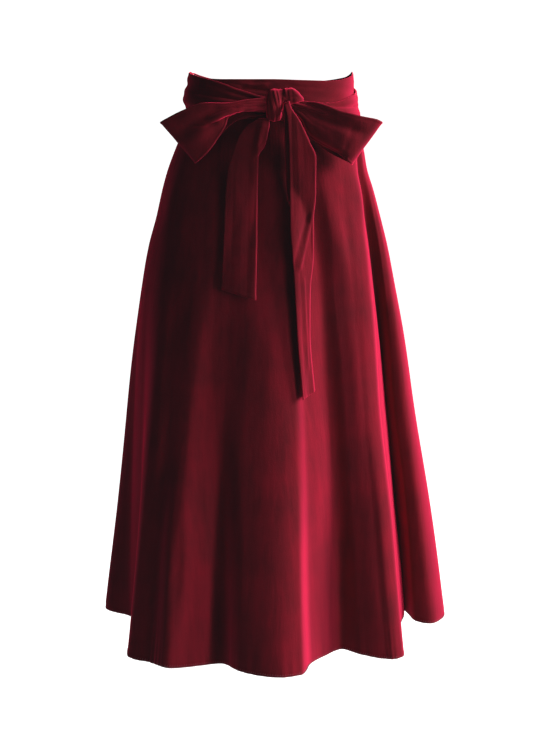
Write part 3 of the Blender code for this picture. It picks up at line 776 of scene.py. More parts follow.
class NodeBoard:
    """Sets and joins the nodes of a material or a world."""

    def __init__(self, owner: Union[Material, bpy.types.World]) -> None:
        """Opens the owner's nodes."""
        owner.use_nodes = True
        self.tree = owner.node_tree

    def feed(self, node: bpy.types.Node, feeds: Feeds) -> bpy.types.Node:
        """Gives a node's inputs their values.

        Args:
            node: The node.
            feeds: For each input, its value or the socket that it reads.

        Returns:
            The node.
        """
        for name, value in feeds.items():
            if isinstance(value, Socket):
                self.tree.links.new(value, node.inputs[name])
            else:
                node.inputs[name].default_value = value
        return node

    def add(self, kind: str, out: str, feeds: Optional[Feeds] = None, **traits: str) -> Socket:
        """Adds a node.

        Args:
            kind: Its kind, as Blender names it after ShaderNode.
            out: Which of its outputs is wanted.
            feeds: For each input, its value or the socket that it reads.
            traits: Its named settings.

        Returns:
            The output's socket.
        """
        node = self.tree.nodes.new(f"ShaderNode{kind}")
        for name, value in traits.items():
            setattr(node, name, value)
        return self.feed(node, feeds or {}).outputs[out]

    def shade(self, feeds: Feeds) -> None:
        """Gives the material's shader its values."""
        self.feed(self.tree.nodes["Principled BSDF"], feeds)

    def noise(self, place: Socket, scale: Sizes, detail: float) -> Socket:
        """A noise texture with this scale along each axis."""
        scaled = self.add("Mapping", "Vector", {"Vector": place, "Scale": scale})
        return self.add("TexNoise", "Fac", {"Vector": scaled, "Scale": 1.0, "Detail": detail})

    def weighted(self, *parts: tuple[Socket, float]) -> Socket:
        """The weighted sum of some values.

        Args:
            parts: Each value with its weight.

        Returns:
            The sum.
        """
        total: Union[Socket, float] = 0.0
        for value, weight in parts:
            total = self.add("Math", "Value", {0: value, 1: weight, 2: total}, operation="MULTIPLY_ADD")
        return total

    def ramp(self, value: Socket, low: tuple[float, Colour], high: tuple[float, Colour]) -> Socket:
        """A colour that changes with a value.

        Args:
            value: The value.
            low: Where the change begins, and the colour there.
            high: Where it ends, and the colour there.

        Returns:
            The colour.
        """
        node = self.feed(self.tree.nodes.new("ShaderNodeValToRGB"), {"Fac": value})
        for element, (position, colour) in zip(node.color_ramp.elements, (low, high)):
            element.position, element.color = position, colour
        return node.outputs["Color"]

    def mix(self, share: Socket, first: Feed, second: Feed) -> Socket:
        """A colour between two, by this share of the second."""
        return self.add("Mix", "Result", {"Factor": share, "A": first, "B": second}, data_type="RGBA")

    def bump(self, height: Socket, depth: float, strength: float, **under: Socket) -> Socket:
        """A bump of this depth and strength, over a coarser one if a Normal is given."""
        feeds = {"Height": height, "Distance": depth, "Strength": strength, **under}
        return self.add("Bump", "Normal", feeds)


class Nap(NamedTuple):
    """A layer of the pile's unevenness: its scale each way, its finer layers and its share."""

    scale: Sizes
    detail: float
    share: float


@dataclass(frozen=True)
class VelvetFinish:
    """Velvet: a dark pile with a painted sheen, a brighter colour mixed into its base colour where the
    cloth turns away from the camera.
    """

    name: str
    hollow_colour: Colour
    crest_colour: Colour
    # Painted sheen: the brighter colour that the base colour turns to where the cloth turns away from
    # the camera, and how fast it comes in.
    painted_sheen_colour: Colour = (0.62, 0.020, 0.076, 1.0)
    painted_sheen_power: float = 2.6
    sheen: float = 1.0
    sheen_roughness: float = 0.36
    sheen_tint: Colour = (0.95, 0.026, 0.090, 1.0)
    roughness: float = 0.86
    roughness_swing: float = 0.10
    specular: float = 0.05
    # Painted glow: a faint grey emission that lifts the whole velvet and shows most in its shade.
    painted_glow_haze: Colour = (0.0025, 0.0046, 0.0050, 1.0)
    streaks: Nap = Nap((46.0, 46.0, 5.0), 3.0, 0.38)
    crush: Nap = Nap((19.0, 19.0, 19.0), 3.0, 0.34)
    brush: Nap = Nap((150.0, 150.0, 17.0), 2.0, 0.16)
    pile: Nap = Nap((620.0, 620.0, 620.0), 2.0, 0.12)
    brush_wear: float = 0.7
    crush_wear: float = 0.3
    nap_low: float = 0.34
    nap_high: float = 0.66
    pile_depth: float = 0.00035
    brush_depth: float = 0.0010
    bump_strength: float = 0.6

    def material(self) -> Material:
        """The finish as a material of nodes."""
        made = bpy.data.materials.new(self.name)
        board = NodeBoard(made)
        place = board.add("TexCoord", "Object")
        layers = (self.streaks, self.crush, self.brush, self.pile)
        noises = [board.noise(place, layer.scale, layer.detail) for layer in layers]
        nap = board.weighted(*zip(noises, column(layers, "share")))
        _, crush, brush, pile = noises
        facing = board.ramp(nap, (self.nap_low, self.hollow_colour), (self.nap_high, self.crest_colour))
        # Painted sheen: the Layer Weight's facing mixes the brighter colour into the base colour where
        # the cloth turns away from the camera.
        turned = board.add("LayerWeight", "Facing", {"Blend": 0.5})
        painted_sheen_share = board.add("Math", "Value", {0: turned, 1: self.painted_sheen_power}, operation="POWER")
        rough = {
            "Value": crush,
            "To Min": self.roughness - self.roughness_swing,
            "To Max": self.roughness + self.roughness_swing,
        }
        wear = board.weighted((brush, self.brush_wear), (crush, self.crush_wear))
        brushed = board.bump(wear, self.brush_depth, self.bump_strength)
        board.shade({
            "Base Color": board.mix(painted_sheen_share, facing, self.painted_sheen_colour),
            "Roughness": board.add("MapRange", "Result", rough),
            "Normal": board.bump(pile, self.pile_depth, self.bump_strength, Normal=brushed),
            "Specular IOR Level": self.specular,
            "Sheen Weight": self.sheen,
            "Sheen Roughness": self.sheen_roughness,
            "Sheen Tint": self.sheen_tint,
            # Painted glow: the velvet gives off a faint grey light of its own.
            "Emission Color": self.painted_glow_haze,
            "Emission Strength": 1.0,
        })
        return made


@dataclass(frozen=True)
class GroundFinish:
    """The plain woven ground that shows on the velvet's inside."""

    name: str
    colour: Colour
    shade: float = 0.6
    weave_scale: float = 900.0
    unevenness: float = 0.6
    weave_depth: float = 0.0002
    bump_strength: float = 0.3
    roughness: float = 0.92
    specular: float = 0.15

    def material(self) -> Material:
        """The finish as a material of nodes."""
        made = bpy.data.materials.new(self.name)
        board = NodeBoard(made)
        place = board.add("TexCoord", "Object")
        thread = {"Vector": place, "Scale": self.weave_scale, "Distortion": self.unevenness}
        warp, weft = (board.add("TexWave", "Fac", thread, bands_direction=way) for way in "XZ")
        weave = board.add("Math", "Value", {0: warp, 1: weft}, operation="MULTIPLY")
        board.shade({
            "Base Color": board.mix(weave, shaded(self.colour, self.shade), self.colour),
            "Roughness": self.roughness,
            "Specular IOR Level": self.specular,
            "Normal": board.bump(weave, self.weave_depth, self.bump_strength),
        })
        return made


@dataclass(frozen=True)
class ThreadFinish:
    """Sewing thread with a fine twist."""

    name: str
    colour: Colour
    shade: float = 0.55
    twist_scale: float = 1400.0
    roughness: float = 0.55
    sheen: float = 0.3

    def material(self) -> Material:
        """The finish as a material of nodes."""
        made = bpy.data.materials.new(self.name)
        board = NodeBoard(made)
        place = board.add("TexCoord", "Object")
        twist = {"Vector": place, "Scale": self.twist_scale}
        strands = board.add("TexWave", "Fac", twist, bands_direction="DIAGONAL")
        board.shade({
            "Base Color": board.mix(strands, shaded(self.colour, self.shade), self.colour),
            "Roughness": self.roughness,
            "Sheen Weight": self.sheen,
        })
        return made


@dataclass(frozen=True)
class Wardrobe:
    """The finishes that the skirt's pieces share."""

    panel_velvet: Material
    band_velvet: Material
    sash_velvet: Material
    ground: Material
    thread: Material

    @classmethod
    def make(cls) -> "Wardrobe":
        """Makes each finish once."""
        hollow = (0.060, 0.0020, 0.0050, 1.0)
        crest = (0.142, 0.0032, 0.0102, 1.0)
        plain = VelvetFinish("panel_velvet", hollow, crest)

        def own(name: str, streaks: Sizes, brush: Sizes) -> Material:
            """The same velvet, brushed in another way."""
            streaked = replace(plain, name=name, streaks=plain.streaks._replace(scale=streaks))
            return replace(streaked, brush=plain.brush._replace(scale=brush)).material()

        return cls(
            panel_velvet=plain.material(),
            band_velvet=own("band_velvet", (30.0, 30.0, 30.0), (60.0, 60.0, 110.0)),
            sash_velvet=own("sash_velvet", (40.0, 40.0, 14.0), (150.0, 150.0, 40.0)),
            ground=GroundFinish("velvet_ground", (0.085, 0.008, 0.016, 1.0)).material(),
            thread=ThreadFinish("hem_thread", (0.16, 0.012, 0.028, 1.0)).material(),
        )


@dataclass
class Drape:
    """The shape the cloth falls in, from the waist seam to the hem."""

    waist_seam: float = -0.050
    hem: float = -0.8315
    side_seam: float = 105.0
    back_seam: float = 180.0
    roundness: float = 2.15
    waist_roundness: float = 3.0
    waist_reach: float = 0.16
    swing: float = 2.2
    front_reach: float = 0.007
    front_half: float = 75.0
    front_samples: int = 601

    def cuts(self) -> tuple[tuple[str, float, float], ...]:
        """The front and the halves of the back, each with the angles of its two seams."""
        return (
            ("front", -self.side_seam, self.side_seam),
            ("back_right", self.side_seam, self.back_seam),
            ("back_left", self.back_seam, 360.0 - self.side_seam),
        )

    def girth(self, part: str, z: np.ndarray) -> np.ndarray:
        """A half-size of the plan at this height."""
        return table_curve(GIRTHS[::-1], "z", part, z)

    def plain_radius(self, angle: np.ndarray, z: np.ndarray) -> np.ndarray:
        """The radius of the unfolded plan.

        Args:
            angle: The angle round the waist.
            z: The height.

        Returns:
            The radius.
        """
        turned = np.radians(angle)
        across, ahead = np.sin(turned), np.cos(turned)
        width = np.where(across < 0, self.girth("left", z), self.girth("right", z))
        depth = np.where(ahead > 0, self.girth("front", z), self.girth("back", z))
        near_waist = bell(np.minimum(np.asarray(z), 0.0), self.waist_reach) * (ahead > 0)
        power = self.roundness + (self.waist_roundness - self.roundness) * near_waist
        total = (np.abs(across) / width) ** power + (np.abs(ahead) / depth) ** power
        return total ** (-1 / power)

    @staticmethod
    def fold_line(name: str, angle: np.ndarray) -> np.ndarray:
        """A column of the fold table, smooth all round the waist."""
        return table_curve(FOLDS, "waist", name, angle, TURN)

    @staticmethod
    def hem_angle(angle: np.ndarray) -> np.ndarray:
        """Where the cloth at this waist angle comes to at the hem."""
        swings = [row.hem - row.waist for row in FOLDS]
        return angle + smooth_curve(column(FOLDS, "waist"), swings, angle, TURN)

    @staticmethod
    def drag_height(angle: np.ndarray, z: np.ndarray) -> np.ndarray:
        """How far the soft drag folds stand out.

        Args:
            angle: The angle round the waist.
            z: The height.

        Returns:
            The heights of the folds, and below zero those of the hollows.
        """
        height = np.zeros(np.broadcast(angle, z).shape)
        for drag in DRAGS:
            along = (drag.top_z - z) / (drag.top_z - drag.low_z)
            centre = drag.top_angle + (drag.low_angle - drag.top_angle) * along
            off = (angle - centre + TURN / 2) % TURN - TURN / 2
            fade = np.sin(np.pi * np.clip(along, 0.0, 1.0)) ** 2
            height = height + drag.height * fade * bell(off, drag.width)
        return height

    def surface(self, angle: np.ndarray, z: np.ndarray) -> np.ndarray:
        """The outer face of the panels.

        Args:
            angle: The angle at the waist.
            z: The height.

        Returns:
            The points.
        """
        fall = np.clip((self.waist_seam - z) / (self.waist_seam - self.hem), 0.0, 1.0)
        swung = 1 - (1 - fall) ** self.swing
        at_hem = self.hem_angle(angle)
        here = angle + (at_hem - angle) * swung
        swell = self.fold_line("radius", angle) / self.plain_radius(at_hem, self.hem) - 1
        starts = self.fold_line("starts", angle)
        grown = np.clip((starts - z) / (starts - self.hem), 0.0, 1.0)
        grown = grown ** self.fold_line("growth", angle)
        radius = self.plain_radius(here, z) * (1 + swell * grown) + self.drag_height(here, z)
        return round_waist(here, radius, z)

    def band_surface(self, angle: np.ndarray, z: np.ndarray) -> np.ndarray:
        """The outer face of the waistband."""
        return round_waist(angle, self.plain_radius(angle, z), z)

    @staticmethod
    def outward(surface: Surface, angle: np.ndarray, z: np.ndarray) -> np.ndarray:
        """The outward direction of a surface.

        Args:
            surface: The surface, by angle and height.
            angle: The angles.
            z: The heights.

        Returns:
            The directions.
        """
        turn, drop = 0.05, 0.0005
        sideways = surface(angle + turn, z) - surface(angle - turn, z)
        upwards = surface(angle, z + drop) - surface(angle, z - drop)
        return unit(np.cross(sideways, upwards))

    def front_depth(self, x: np.ndarray, z: float) -> np.ndarray:
        """The nearest depth of the front panel round some places at one height.

        Args:
            x: The places across the front.
            z: The height.

        Returns:
            The depth at each place.
        """
        angle = np.linspace(-self.front_half, self.front_half, self.front_samples)
        face = self.surface(angle, np.full_like(angle, min(z, self.waist_seam)))
        near = np.abs(face[:, 0][None, :] - x[:, None]) < self.front_reach
        return np.where(near, face[:, 1][None, :], np.inf).min(axis=1)


@dataclass
class SkirtPanels:
    """The front and the two halves of the back, sewn at the sides and the centre back."""

    drape: Drape
    finishes: Wardrobe
    wall: float = 0.0018
    rows: int = 150
    front_step: float = 0.72
    back_step: float = 0.8
    edge_closeness: float = 0.04
    seam_gap: float = 0.0003
    seam_dip: float = 0.0011
    seam_width: float = 0.0032
    seam_roll: float = 0.0002
    seam_roll_width: float = 0.004
    near_seam: tuple[float, ...] = (0.0, 0.12, 0.25, 0.4, 0.6, 0.9, 1.3)
    pucker_height: float = 0.00045
    pucker_reach: float = 0.010
    pucker_pace: float = 430.0
    pucker_sway: float = 2.0
    pucker_sway_pace: float = 47.0
    seam_phases: tuple[float, float] = (1.0, 4.0)
    broad_height: float = 0.0012
    broad_pace: float = 3.0
    fine_height: float = 0.00022
    fine_pace: float = 2.0
    settling: float = 0.12
    gather_height: float = 0.0004
    gather_fade: float = 0.040
    flutter: float = 0.0004
    flutter_fade: float = 0.030
    edge_steps: int = 3
    stitch_pitch: float = 0.0036
    stitch_bite: float = 0.0034
    stitch_lean: float = 0.0012
    stitch_shoulder: float = 0.8
    stitch_tuck: float = 0.4
    thread_radius: float = 0.0003

    def __post_init__(self) -> None:
        """Draws the cloth's small unevenness."""
        self.broad = Ripples(11, 7, (4.0, 11.0), (2.0, 9.0))
        self.fine = Ripples(12, 9, (16.0, 42.0), (3.0, 14.0))
        self.puckers = Ripples(13, 8, (70.0, 150.0), (4.0, 30.0))
        self.hem_waves = Ripples(14, 6, (55.0, 120.0), (1.0, 6.0))

    def height(self, angle: np.ndarray, share: np.ndarray) -> np.ndarray:
        """The height of the cloth at this waist angle and share of the way down."""
        top = self.drape.waist_seam - self.seam_gap
        return top + (self.drape.hem - self.drape.fold_line("drop", angle) - top) * share

    def relief(self, angle: np.ndarray, z: np.ndarray) -> np.ndarray:
        """How far the cloth's small unevenness stands out.

        Args:
            angle: The angle at the waist.
            z: The height.

        Returns:
            The heights.
        """
        turned = np.radians(angle)
        fall = self.drape.waist_seam - z
        soft = self.broad_height * self.broad.at(turned, z * self.broad_pace)
        soft = soft + self.fine_height * self.fine.at(turned, z * self.fine_pace)
        gathers = self.gather_height * np.exp(-fall / self.gather_fade)
        waves = self.flutter * np.exp(-np.abs(z - self.drape.hem) / self.flutter_fade)
        return (
            soft * np.clip(fall / self.settling, 0.0, 1.0)
            + gathers * self.puckers.at(turned, z * self.fine_pace)
            + waves * self.hem_waves.at(turned, z)
        )

    def seam_relief(self, distance: np.ndarray, z: np.ndarray, phase: float) -> np.ndarray:
        """The groove of a pressed seam and its slight puckers.

        Args:
            distance: How far from the seam.
            z: The height.
            phase: Where the puckers begin.

        Returns:
            The heights.
        """
        groove = self.seam_dip * bell(distance, self.seam_width / 2)
        sway = self.pucker_sway * np.sin(z * self.pucker_sway_pace)
        waves = np.sin(z * self.pucker_pace + phase + sway)
        return self.pucker_height * bell(distance, self.pucker_reach) * waves - groove

    def columns(self, first: float, last: float, step: float) -> np.ndarray:
        """Waist angles from seam to seam, closer together by the seams.

        Args:
            first: The first seam's angle.
            last: The last seam's angle.
            step: Degrees of one column.

        Returns:
            The angles.
        """
        near = np.array(self.near_seam)
        count = round((last - first - 2 * near[-1]) / step)
        middle = np.linspace(first + near[-1], last - near[-1], count + 1)[1:-1]
        return np.concatenate([first + near, middle, (last - near)[::-1]])

    def panel(self, name: str, first: float, last: float, step: float) -> tuple[Piece, Piece]:
        """One panel between two seams, with the stitches over its hem.

        Args:
            name: The panel's node.
            first: The waist angle of its first seam.
            last: The waist angle of its last seam.
            step: Degrees of one column.

        Returns:
            The panel and its stitches.
        """
        share = np.linspace(0.0, 1.0, self.rows + 1)[:, None]
        share = share - self.edge_closeness * np.sin(2 * np.pi * share) / (2 * np.pi)
        angle = self.columns(first, last, step)[None, :]
        z = self.height(angle, share)
        angle = np.broadcast_to(angle, z.shape)
        base = self.drape.surface(angle, z)
        outward = self.drape.outward(self.drape.surface, angle, z)
        run = run_along(base, 1)
        rest = run[:, -1:] - run
        first_phase, last_phase = self.seam_phases
        seams = self.seam_relief(run, z, first_phase) + self.seam_relief(rest, z, last_phase)
        outer, inner = two_faces(base, outward, self.relief(angle, z) + seams, self.wall)
        roll = self.seam_roll * bell(np.minimum(run, rest), self.seam_roll_width)
        inner = inner + outward * roll[..., None]
        down = unit(outer[-1] - outer[-3])
        hem = ClothMesh.half_round(outer[-1], inner[-1], down * self.wall / 2, self.edge_steps)
        dress = (self.finishes.panel_velvet, self.finishes.ground)
        made = ClothMesh.rolled_edge(f"{name}_cloth", outer, inner, hem, dress)
        sewn = self.stitches(name, outer[-1], inner[-1], outward[-1], down)
        return declare(made, name), sewn

    def stitches(
        self, name: str, outer: np.ndarray, inner: np.ndarray, outward: np.ndarray, down: np.ndarray
    ) -> Piece:
        """The stitches worked over a panel's hem.

        Args:
            name: The panel's node.
            outer: The hem's points on the pile face.
            inner: Its points on the ground face.
            outward: The outward direction at each.
            down: The direction down the cloth at each.

        Returns:
            The stitches as one object.
        """
        run = run_along(outer, 0)
        places = np.arange(self.stitch_pitch, run[-1] - self.stitch_pitch / 2, self.stitch_pitch)
        proud, lean, tuck = self.thread_radius, self.stitch_lean, self.stitch_tuck
        shoulder = self.stitch_shoulder

        def at(rows: np.ndarray, shift: float = 0.0) -> np.ndarray:
            """The rows at the stitches, or beside them."""
            return np.stack([np.interp(places + shift, run, rows[:, k]) for k in range(3)], -1)

        out, low = at(outward) * proud, at(down)
        bite = low * self.stitch_bite
        paths = np.stack(
            [
                at(outer, lean) - bite - out * tuck,
                at(outer, lean * shoulder) - (bite - out) * shoulder,
                at(outer) + out,
                at((outer + inner) / 2) + low * (self.wall / 2 + proud),
                at(inner) - out,
                at(inner, lean * shoulder) - (bite + out) * shoulder,
                at(inner, lean) - bite + out * tuck,
            ],
            axis=1,
        )
        side = unit(at(outer, proud) - at(outer, -proud))
        made = ClothMesh.threads(f"{name}_hem_stitches", paths, side, proud, self.finishes.thread)
        return declare(made)

    def build(self) -> list[Piece]:
        flats = (((1.02, 0.80), 0.62), ((0.41, 0.80), 0.235), ((0.41, 0.80), 0.228))
        panels = []
        for (part, first, last), (flat, area) in zip(self.drape.cuts(), flats):
            step = self.front_step if part == "front" else self.back_step
            made, sewn = self.panel(f"skirt_{part}", first, last, step)
            panels.append(made)
        return panels


@dataclass
class Waistband:
    """The high band above the panels."""

    drape: Drape
    finishes: Wardrobe
    wall: float = 0.0022
    width: float = 0.046
    rows: int = 40
    step: float = 0.7
    edge_steps: int = 4
    wave_height: float = 0.0005
    crease_height: float = 0.00035
    seam_dip: float = 0.0008
    seam_width: float = 0.0015
    low_roll: float = 0.0001
    crease_reach: float = 1.15
    side_fade: float = 8.0
    rim_fade: float = 6.0

    def __post_init__(self) -> None:
        """Draws the band's small wrinkles."""
        self.waves = Ripples(21, 6, (5.0, 14.0), (30.0, 90.0))
        self.creases = Ripples(22, 7, (3.0, 9.0), (260.0, 520.0))

    def height(self, angle: np.ndarray, share: np.ndarray) -> np.ndarray:
        """The height of the band at this angle and share of the way down."""
        top = table_curve(RIMS, "angle", "z", angle, TURN)
        return top + (self.drape.waist_seam - top) * share

    def relief(self, base: np.ndarray, angle: np.ndarray, share: np.ndarray) -> np.ndarray:
        """How far the band's wrinkles, seams and creases stand out.

        Args:
            base: The plain band's points.
            angle: Their angles.
            share: Their share of the way down.

        Returns:
            The heights.
        """
        turned, z = np.radians(angle), base[..., 2]
        middle = np.sin(np.pi * np.clip(share * self.crease_reach, 0.0, 1.0))
        relief = self.wave_height * self.waves.at(turned, z)
        relief = relief + self.crease_height * self.creases.at(turned, z) * middle
        run = run_along(base, 1)
        edge = np.minimum(run, run[:, -1:] - run)
        ahead = np.clip(np.cos(turned) * self.side_fade, 0.0, 1.0)
        ahead = ahead * np.clip(share * self.rim_fade, 0.0, 1.0)
        relief = relief - self.seam_dip * bell(edge, self.seam_width)
        return relief + ahead * crease_relief(BAND_CREASES, base[..., 0], z)

    def piece(self, name: str, first: float, last: float) -> Piece:
        """One piece of the band between two seams.

        Args:
            name: Its node.
            first: The angle of its first seam.
            last: The angle of its last seam.

        Returns:
            The piece.
        """
        count = round((last - first) / self.step)
        angle = np.linspace(first, last, count + 1)[None, :]
        share = np.linspace(0.0, 1.0, self.rows + 1)[:, None]
        z = self.height(angle, share)
        angle = np.broadcast_to(angle, z.shape)
        base = self.drape.band_surface(angle, z)
        outward = self.drape.outward(self.drape.band_surface, angle, z)
        outer, inner = two_faces(base, outward, self.relief(base, angle, share), self.wall)
        up = unit(outer[0] - outer[2]) * self.wall / 2
        top = ClothMesh.half_round(inner[0], outer[0], up, self.edge_steps)
        down = unit(outer[-1] - outer[-3]) * self.low_roll
        low = ClothMesh.half_round(outer[-1], inner[-1], down, 1)
        dress = (self.finishes.band_velvet, self.finishes.ground)
        made = ClothMesh.rolled_edge(f"{name}_cloth", outer, inner, low, dress, top)
        return declare(made, name)

    def build(self) -> list[Piece]:
        pieces = []
        for (part, first, last), length in zip(self.drape.cuts(), (0.425, 0.145, 0.143)):
            made = self.piece(f"waistband_{part}", first, last)
            pieces.append(made)
        return pieces


@dataclass
class TiedSash:
    """The sash round the waist, its knot, two loops and two tails."""

    drape: Drape
    finishes: Wardrobe
    width: float = 0.073
    wall: float = 0.0014
    clearance: float = 0.0034
    pleats: float = 1.5
    pleat_twist: float = 2.0
    narrow_pleats: float = 4.0
    narrow_sway: float = 1.3
    narrow_phase: float = 0.6
    swell_shares: Sizes = (0.42, 0.40, 0.18)
    crease_height: float = 0.00035
    side_fade: float = 8.0
    wrap_rows: int = 46
    wrap_columns: int = 330
    loop_rows: int = 84
    loop_columns: int = 240
    loop_cut: float = 0.0178
    neck_pleats: float = 4.5
    neck_depth: float = 0.0020
    neck_reach: float = 0.034
    neck_sway: float = 1.5
    neck_sway_pace: float = 4.0
    front_ends: float = 0.3
    front_fade: float = 0.7
    valley_at: float = 0.36
    valley_width: float = 0.15
    valley_depth: float = 0.8
    under_roll: float = 0.0085
    under_roll_from: float = 0.84
    loop_crumple: float = 0.00020
    knot_cells: int = 190
    knot_squareness: float = 2.6
    knot_wind: float = 0.00018
    knot_fill: float = 0.7
    knot_end_fade: float = 8.0
    knot_seen: tuple[float, float] = (2.0, 1.4)
    layer_step: float = 0.0042
    bend: float = 0.0016
    tail_clearance: float = 0.0022
    tail_rows: int = 170
    tail_cells: int = 30
    tail_crumple: float = 0.00030
    tail_stretch: tuple[float, float] = (1.6, 0.35)
    tail_start: float = 0.012
    front_layer: float = 0.4
    bend_cells: int = 8
    narrow_bend: float = 0.25
    least_bends: int = 3
    left_lean: float = 0.0040
    edge_steps: int = 3
    edge_bead: float = 0.0007
    bead_at: float = 0.0016
    bead_width: float = 0.0013

    def __post_init__(self) -> None:
        """Draws the sash's small creases."""
        self.creases = Ripples(31, 9, (2.0, 7.0), (14.0, 38.0))
        self.crumple = Ripples(32, 8, (60.0, 160.0), (60.0, 160.0))
        self.winds = Ripples(34, 7, (420.0, 1100.0), (30.0, 120.0))

    @staticmethod
    def outward(middle: np.ndarray) -> np.ndarray:
        """The outward direction of a grid that has rows across the cloth and columns along it."""
        return unit(np.cross(np.gradient(middle, axis=1), -np.gradient(middle, axis=0)))

    def strip(
        self,
        node: str,
        middle: np.ndarray,
        relief: np.ndarray,
        length: float,
        rests_on: Sequence[str] = ("sash_knot_cloth",),
        **cut: float,
    ) -> Piece:
        """A strip of the sash, both long edges rounded.

        Args:
            node: The solid that it takes the place of.
            middle: The middle of the cloth: rows across it, columns along it.
            relief: How far each point stands out.
            length: The strip's flat length; not used.
            rests_on: What it rests on; not used.
            cut: The flat area of what shows, where it isn't the length by the width; not used.

        Returns:
            The strip.
        """
        middle = middle + self.outward(middle) * relief[..., None]
        outward = self.outward(middle)
        run = run_along(middle, 0)
        edge = np.minimum(run, run[-1:] - run)
        half = self.wall / 2 + self.edge_bead * bell(edge - self.bead_at, self.bead_width)
        outer = middle + outward * half[..., None]
        inner = middle - outward * half[..., None]
        low_way = unit(middle[-1] - middle[-2]) * self.wall / 2
        top_way = unit(middle[0] - middle[1]) * self.wall / 2
        low = ClothMesh.half_round(outer[-1], inner[-1], low_way, self.edge_steps)
        top = ClothMesh.half_round(inner[0], outer[0], top_way, self.edge_steps)
        dress = (self.finishes.sash_velvet, self.finishes.sash_velvet)
        made = ClothMesh.rolled_edge(f"{node}_cloth", outer, inner, low, dress, top)
        declare(made, node)
        return made

    def wrap(self) -> Piece:
        """The sash round the waist; its ends meet behind the knot."""
        angle = np.linspace(WRAPS[0].angle, WRAPS[-1].angle, self.wrap_columns + 1)[None, :]
        share = np.linspace(0.0, 1.0, self.wrap_rows + 1)[:, None]
        top, low, stand = (
            table_curve(WRAPS, "angle", name, angle, TURN) for name in ("top", "low", "stand")
        )
        z = top + (low - top) * share
        turned = np.radians(angle)
        sway = self.narrow_sway * np.sin(turned * self.pleat_twist + self.narrow_phase)
        wide = 0.5 - 0.5 * np.cos(2 * np.pi * self.pleats * share + self.pleat_twist * turned)
        narrow = 0.5 - 0.5 * np.cos(2 * np.pi * self.narrow_pleats * share + sway)
        even_share, wide_share, narrow_share = self.swell_shares
        swell = even_share + wide_share * wide + narrow_share * narrow
        bulge = stand * np.sin(np.pi * share) * swell
        radius = self.drape.plain_radius(angle, z) + self.clearance + bulge
        middle = round_waist(angle, radius, z)
        ahead = np.clip(np.cos(turned) * self.side_fade + 1.0, 0.0, 1.0)
        relief = self.crease_height * self.creases.at(turned, share)
        relief = relief + ahead * crease_relief(WRAP_CREASES, middle[..., 0], middle[..., 2])
        relief = relief * np.sin(np.pi * share) ** 0.5
        bands = [f"waistband_{part}" for part, *_ in self.drape.cuts()]
        return self.strip("sash_wrap", middle, relief, 0.74, bands)

    def loop(self, side: Side, rows: Sequence[Loop], creases: Sequence[Crease]) -> Piece:
        """A loop of the bow: one strip, out from the knot, turned, and back behind.

        Args:
            side: Which side of the knot it is on.
            rows: Its table.
            creases: The creases of its front.

        Returns:
            The loop.
        """
        along = np.linspace(0.0, len(rows) - 1, self.loop_columns + 1)
        across = np.linspace(0.0, 1.0, self.loop_rows + 1)[:, None]
        lines = even_lines(rows, along)
        x = lines["upper_x"] + (lines["lower_x"] - lines["upper_x"]) * across
        z = lines["upper_z"] + (lines["lower_z"] - lines["upper_z"]) * across
        valley = self.valley_depth * bell(across - self.valley_at, self.valley_width)
        y = lines["depth"] - lines["puff"] * (np.sin(np.pi * across) - valley)
        turned_end = (len(rows) - 1) / 2
        front = np.clip((turned_end - self.front_ends - along) / self.front_fade, 0.0, 1.0)
        if side is Side.RIGHT:
            rolled = np.clip((across - self.under_roll_from) / (1 - self.under_roll_from), 0.0, 1.0)
            y = y + self.under_roll * front * rolled**2
        middle = np.stack([x, y, z], -1)
        pull = np.exp(-np.abs(x - rows[0].upper_x) / self.neck_reach)
        sway = self.neck_sway * np.sin(self.neck_sway_pace * across)
        pleats = np.abs(np.sin(np.pi * self.neck_pleats * across + sway))
        relief = self.neck_depth * pull * (pleats - 0.5)
        relief = relief + self.loop_crumple * self.crumple.at(x, z) * (1 - pull)
        relief = relief + front * crease_relief(creases, x, z)
        if side is Side.LEFT:
            middle, relief = middle[:, ::-1], relief[:, ::-1]
        return self.strip(f"bow_loop_{side.value}", middle, relief, 0.30, area=self.loop_cut)

    def knot(self) -> Piece:
        """The knot, with the fine winds of its cloth."""
        spread = np.linspace(0.0, 1.0, self.knot_cells + 1)
        lines = even_lines(KNOT, spread * (len(KNOT) - 1))
        turn = np.linspace(0.0, 2 * np.pi, self.knot_cells, endpoint=False)[:, None]
        ahead, upward = (
            np.sign(part) * np.abs(part) ** (2 / self.knot_squareness)
            for part in (np.cos(turn), np.sin(turn))
        )
        y = (lines["front"] + lines["back"]) / 2 - ahead * (lines["back"] - lines["front"]) / 2
        z = (lines["top"] + lines["low"]) / 2 + upward * (lines["top"] - lines["low"]) / 2
        x = np.broadcast_to(lines["x"], y.shape)
        grid = np.stack([x, y, z], -1)
        round_knot = np.roll(grid, -1, axis=0) - np.roll(grid, 1, axis=0)
        outward = unit(np.cross(np.gradient(grid, axis=1), round_knot))
        ends = np.clip(np.minimum(spread, 1 - spread) * self.knot_end_fade, 0.0, 1.0)
        gain, shift = self.knot_seen
        seen = np.clip(np.cos(turn) * gain + shift, 0.0, 1.0) * ends
        relief = self.knot_wind * self.winds.at(x, z) * ends + seen * crease_relief(KNOT_CREASES, x, z)
        grid = grid + outward * relief[..., None]
        index = np.arange(x.size).reshape(x.shape)
        faces = [face[::-1] for face in ClothMesh.rings(index)]
        faces += [tuple(index[:, 0].tolist()), tuple(index[::-1, -1].tolist())]
        made = ClothMesh.make("sash_knot_cloth", grid, faces, (self.finishes.sash_velvet,))
        declare(made, "sash_knot")
        return made

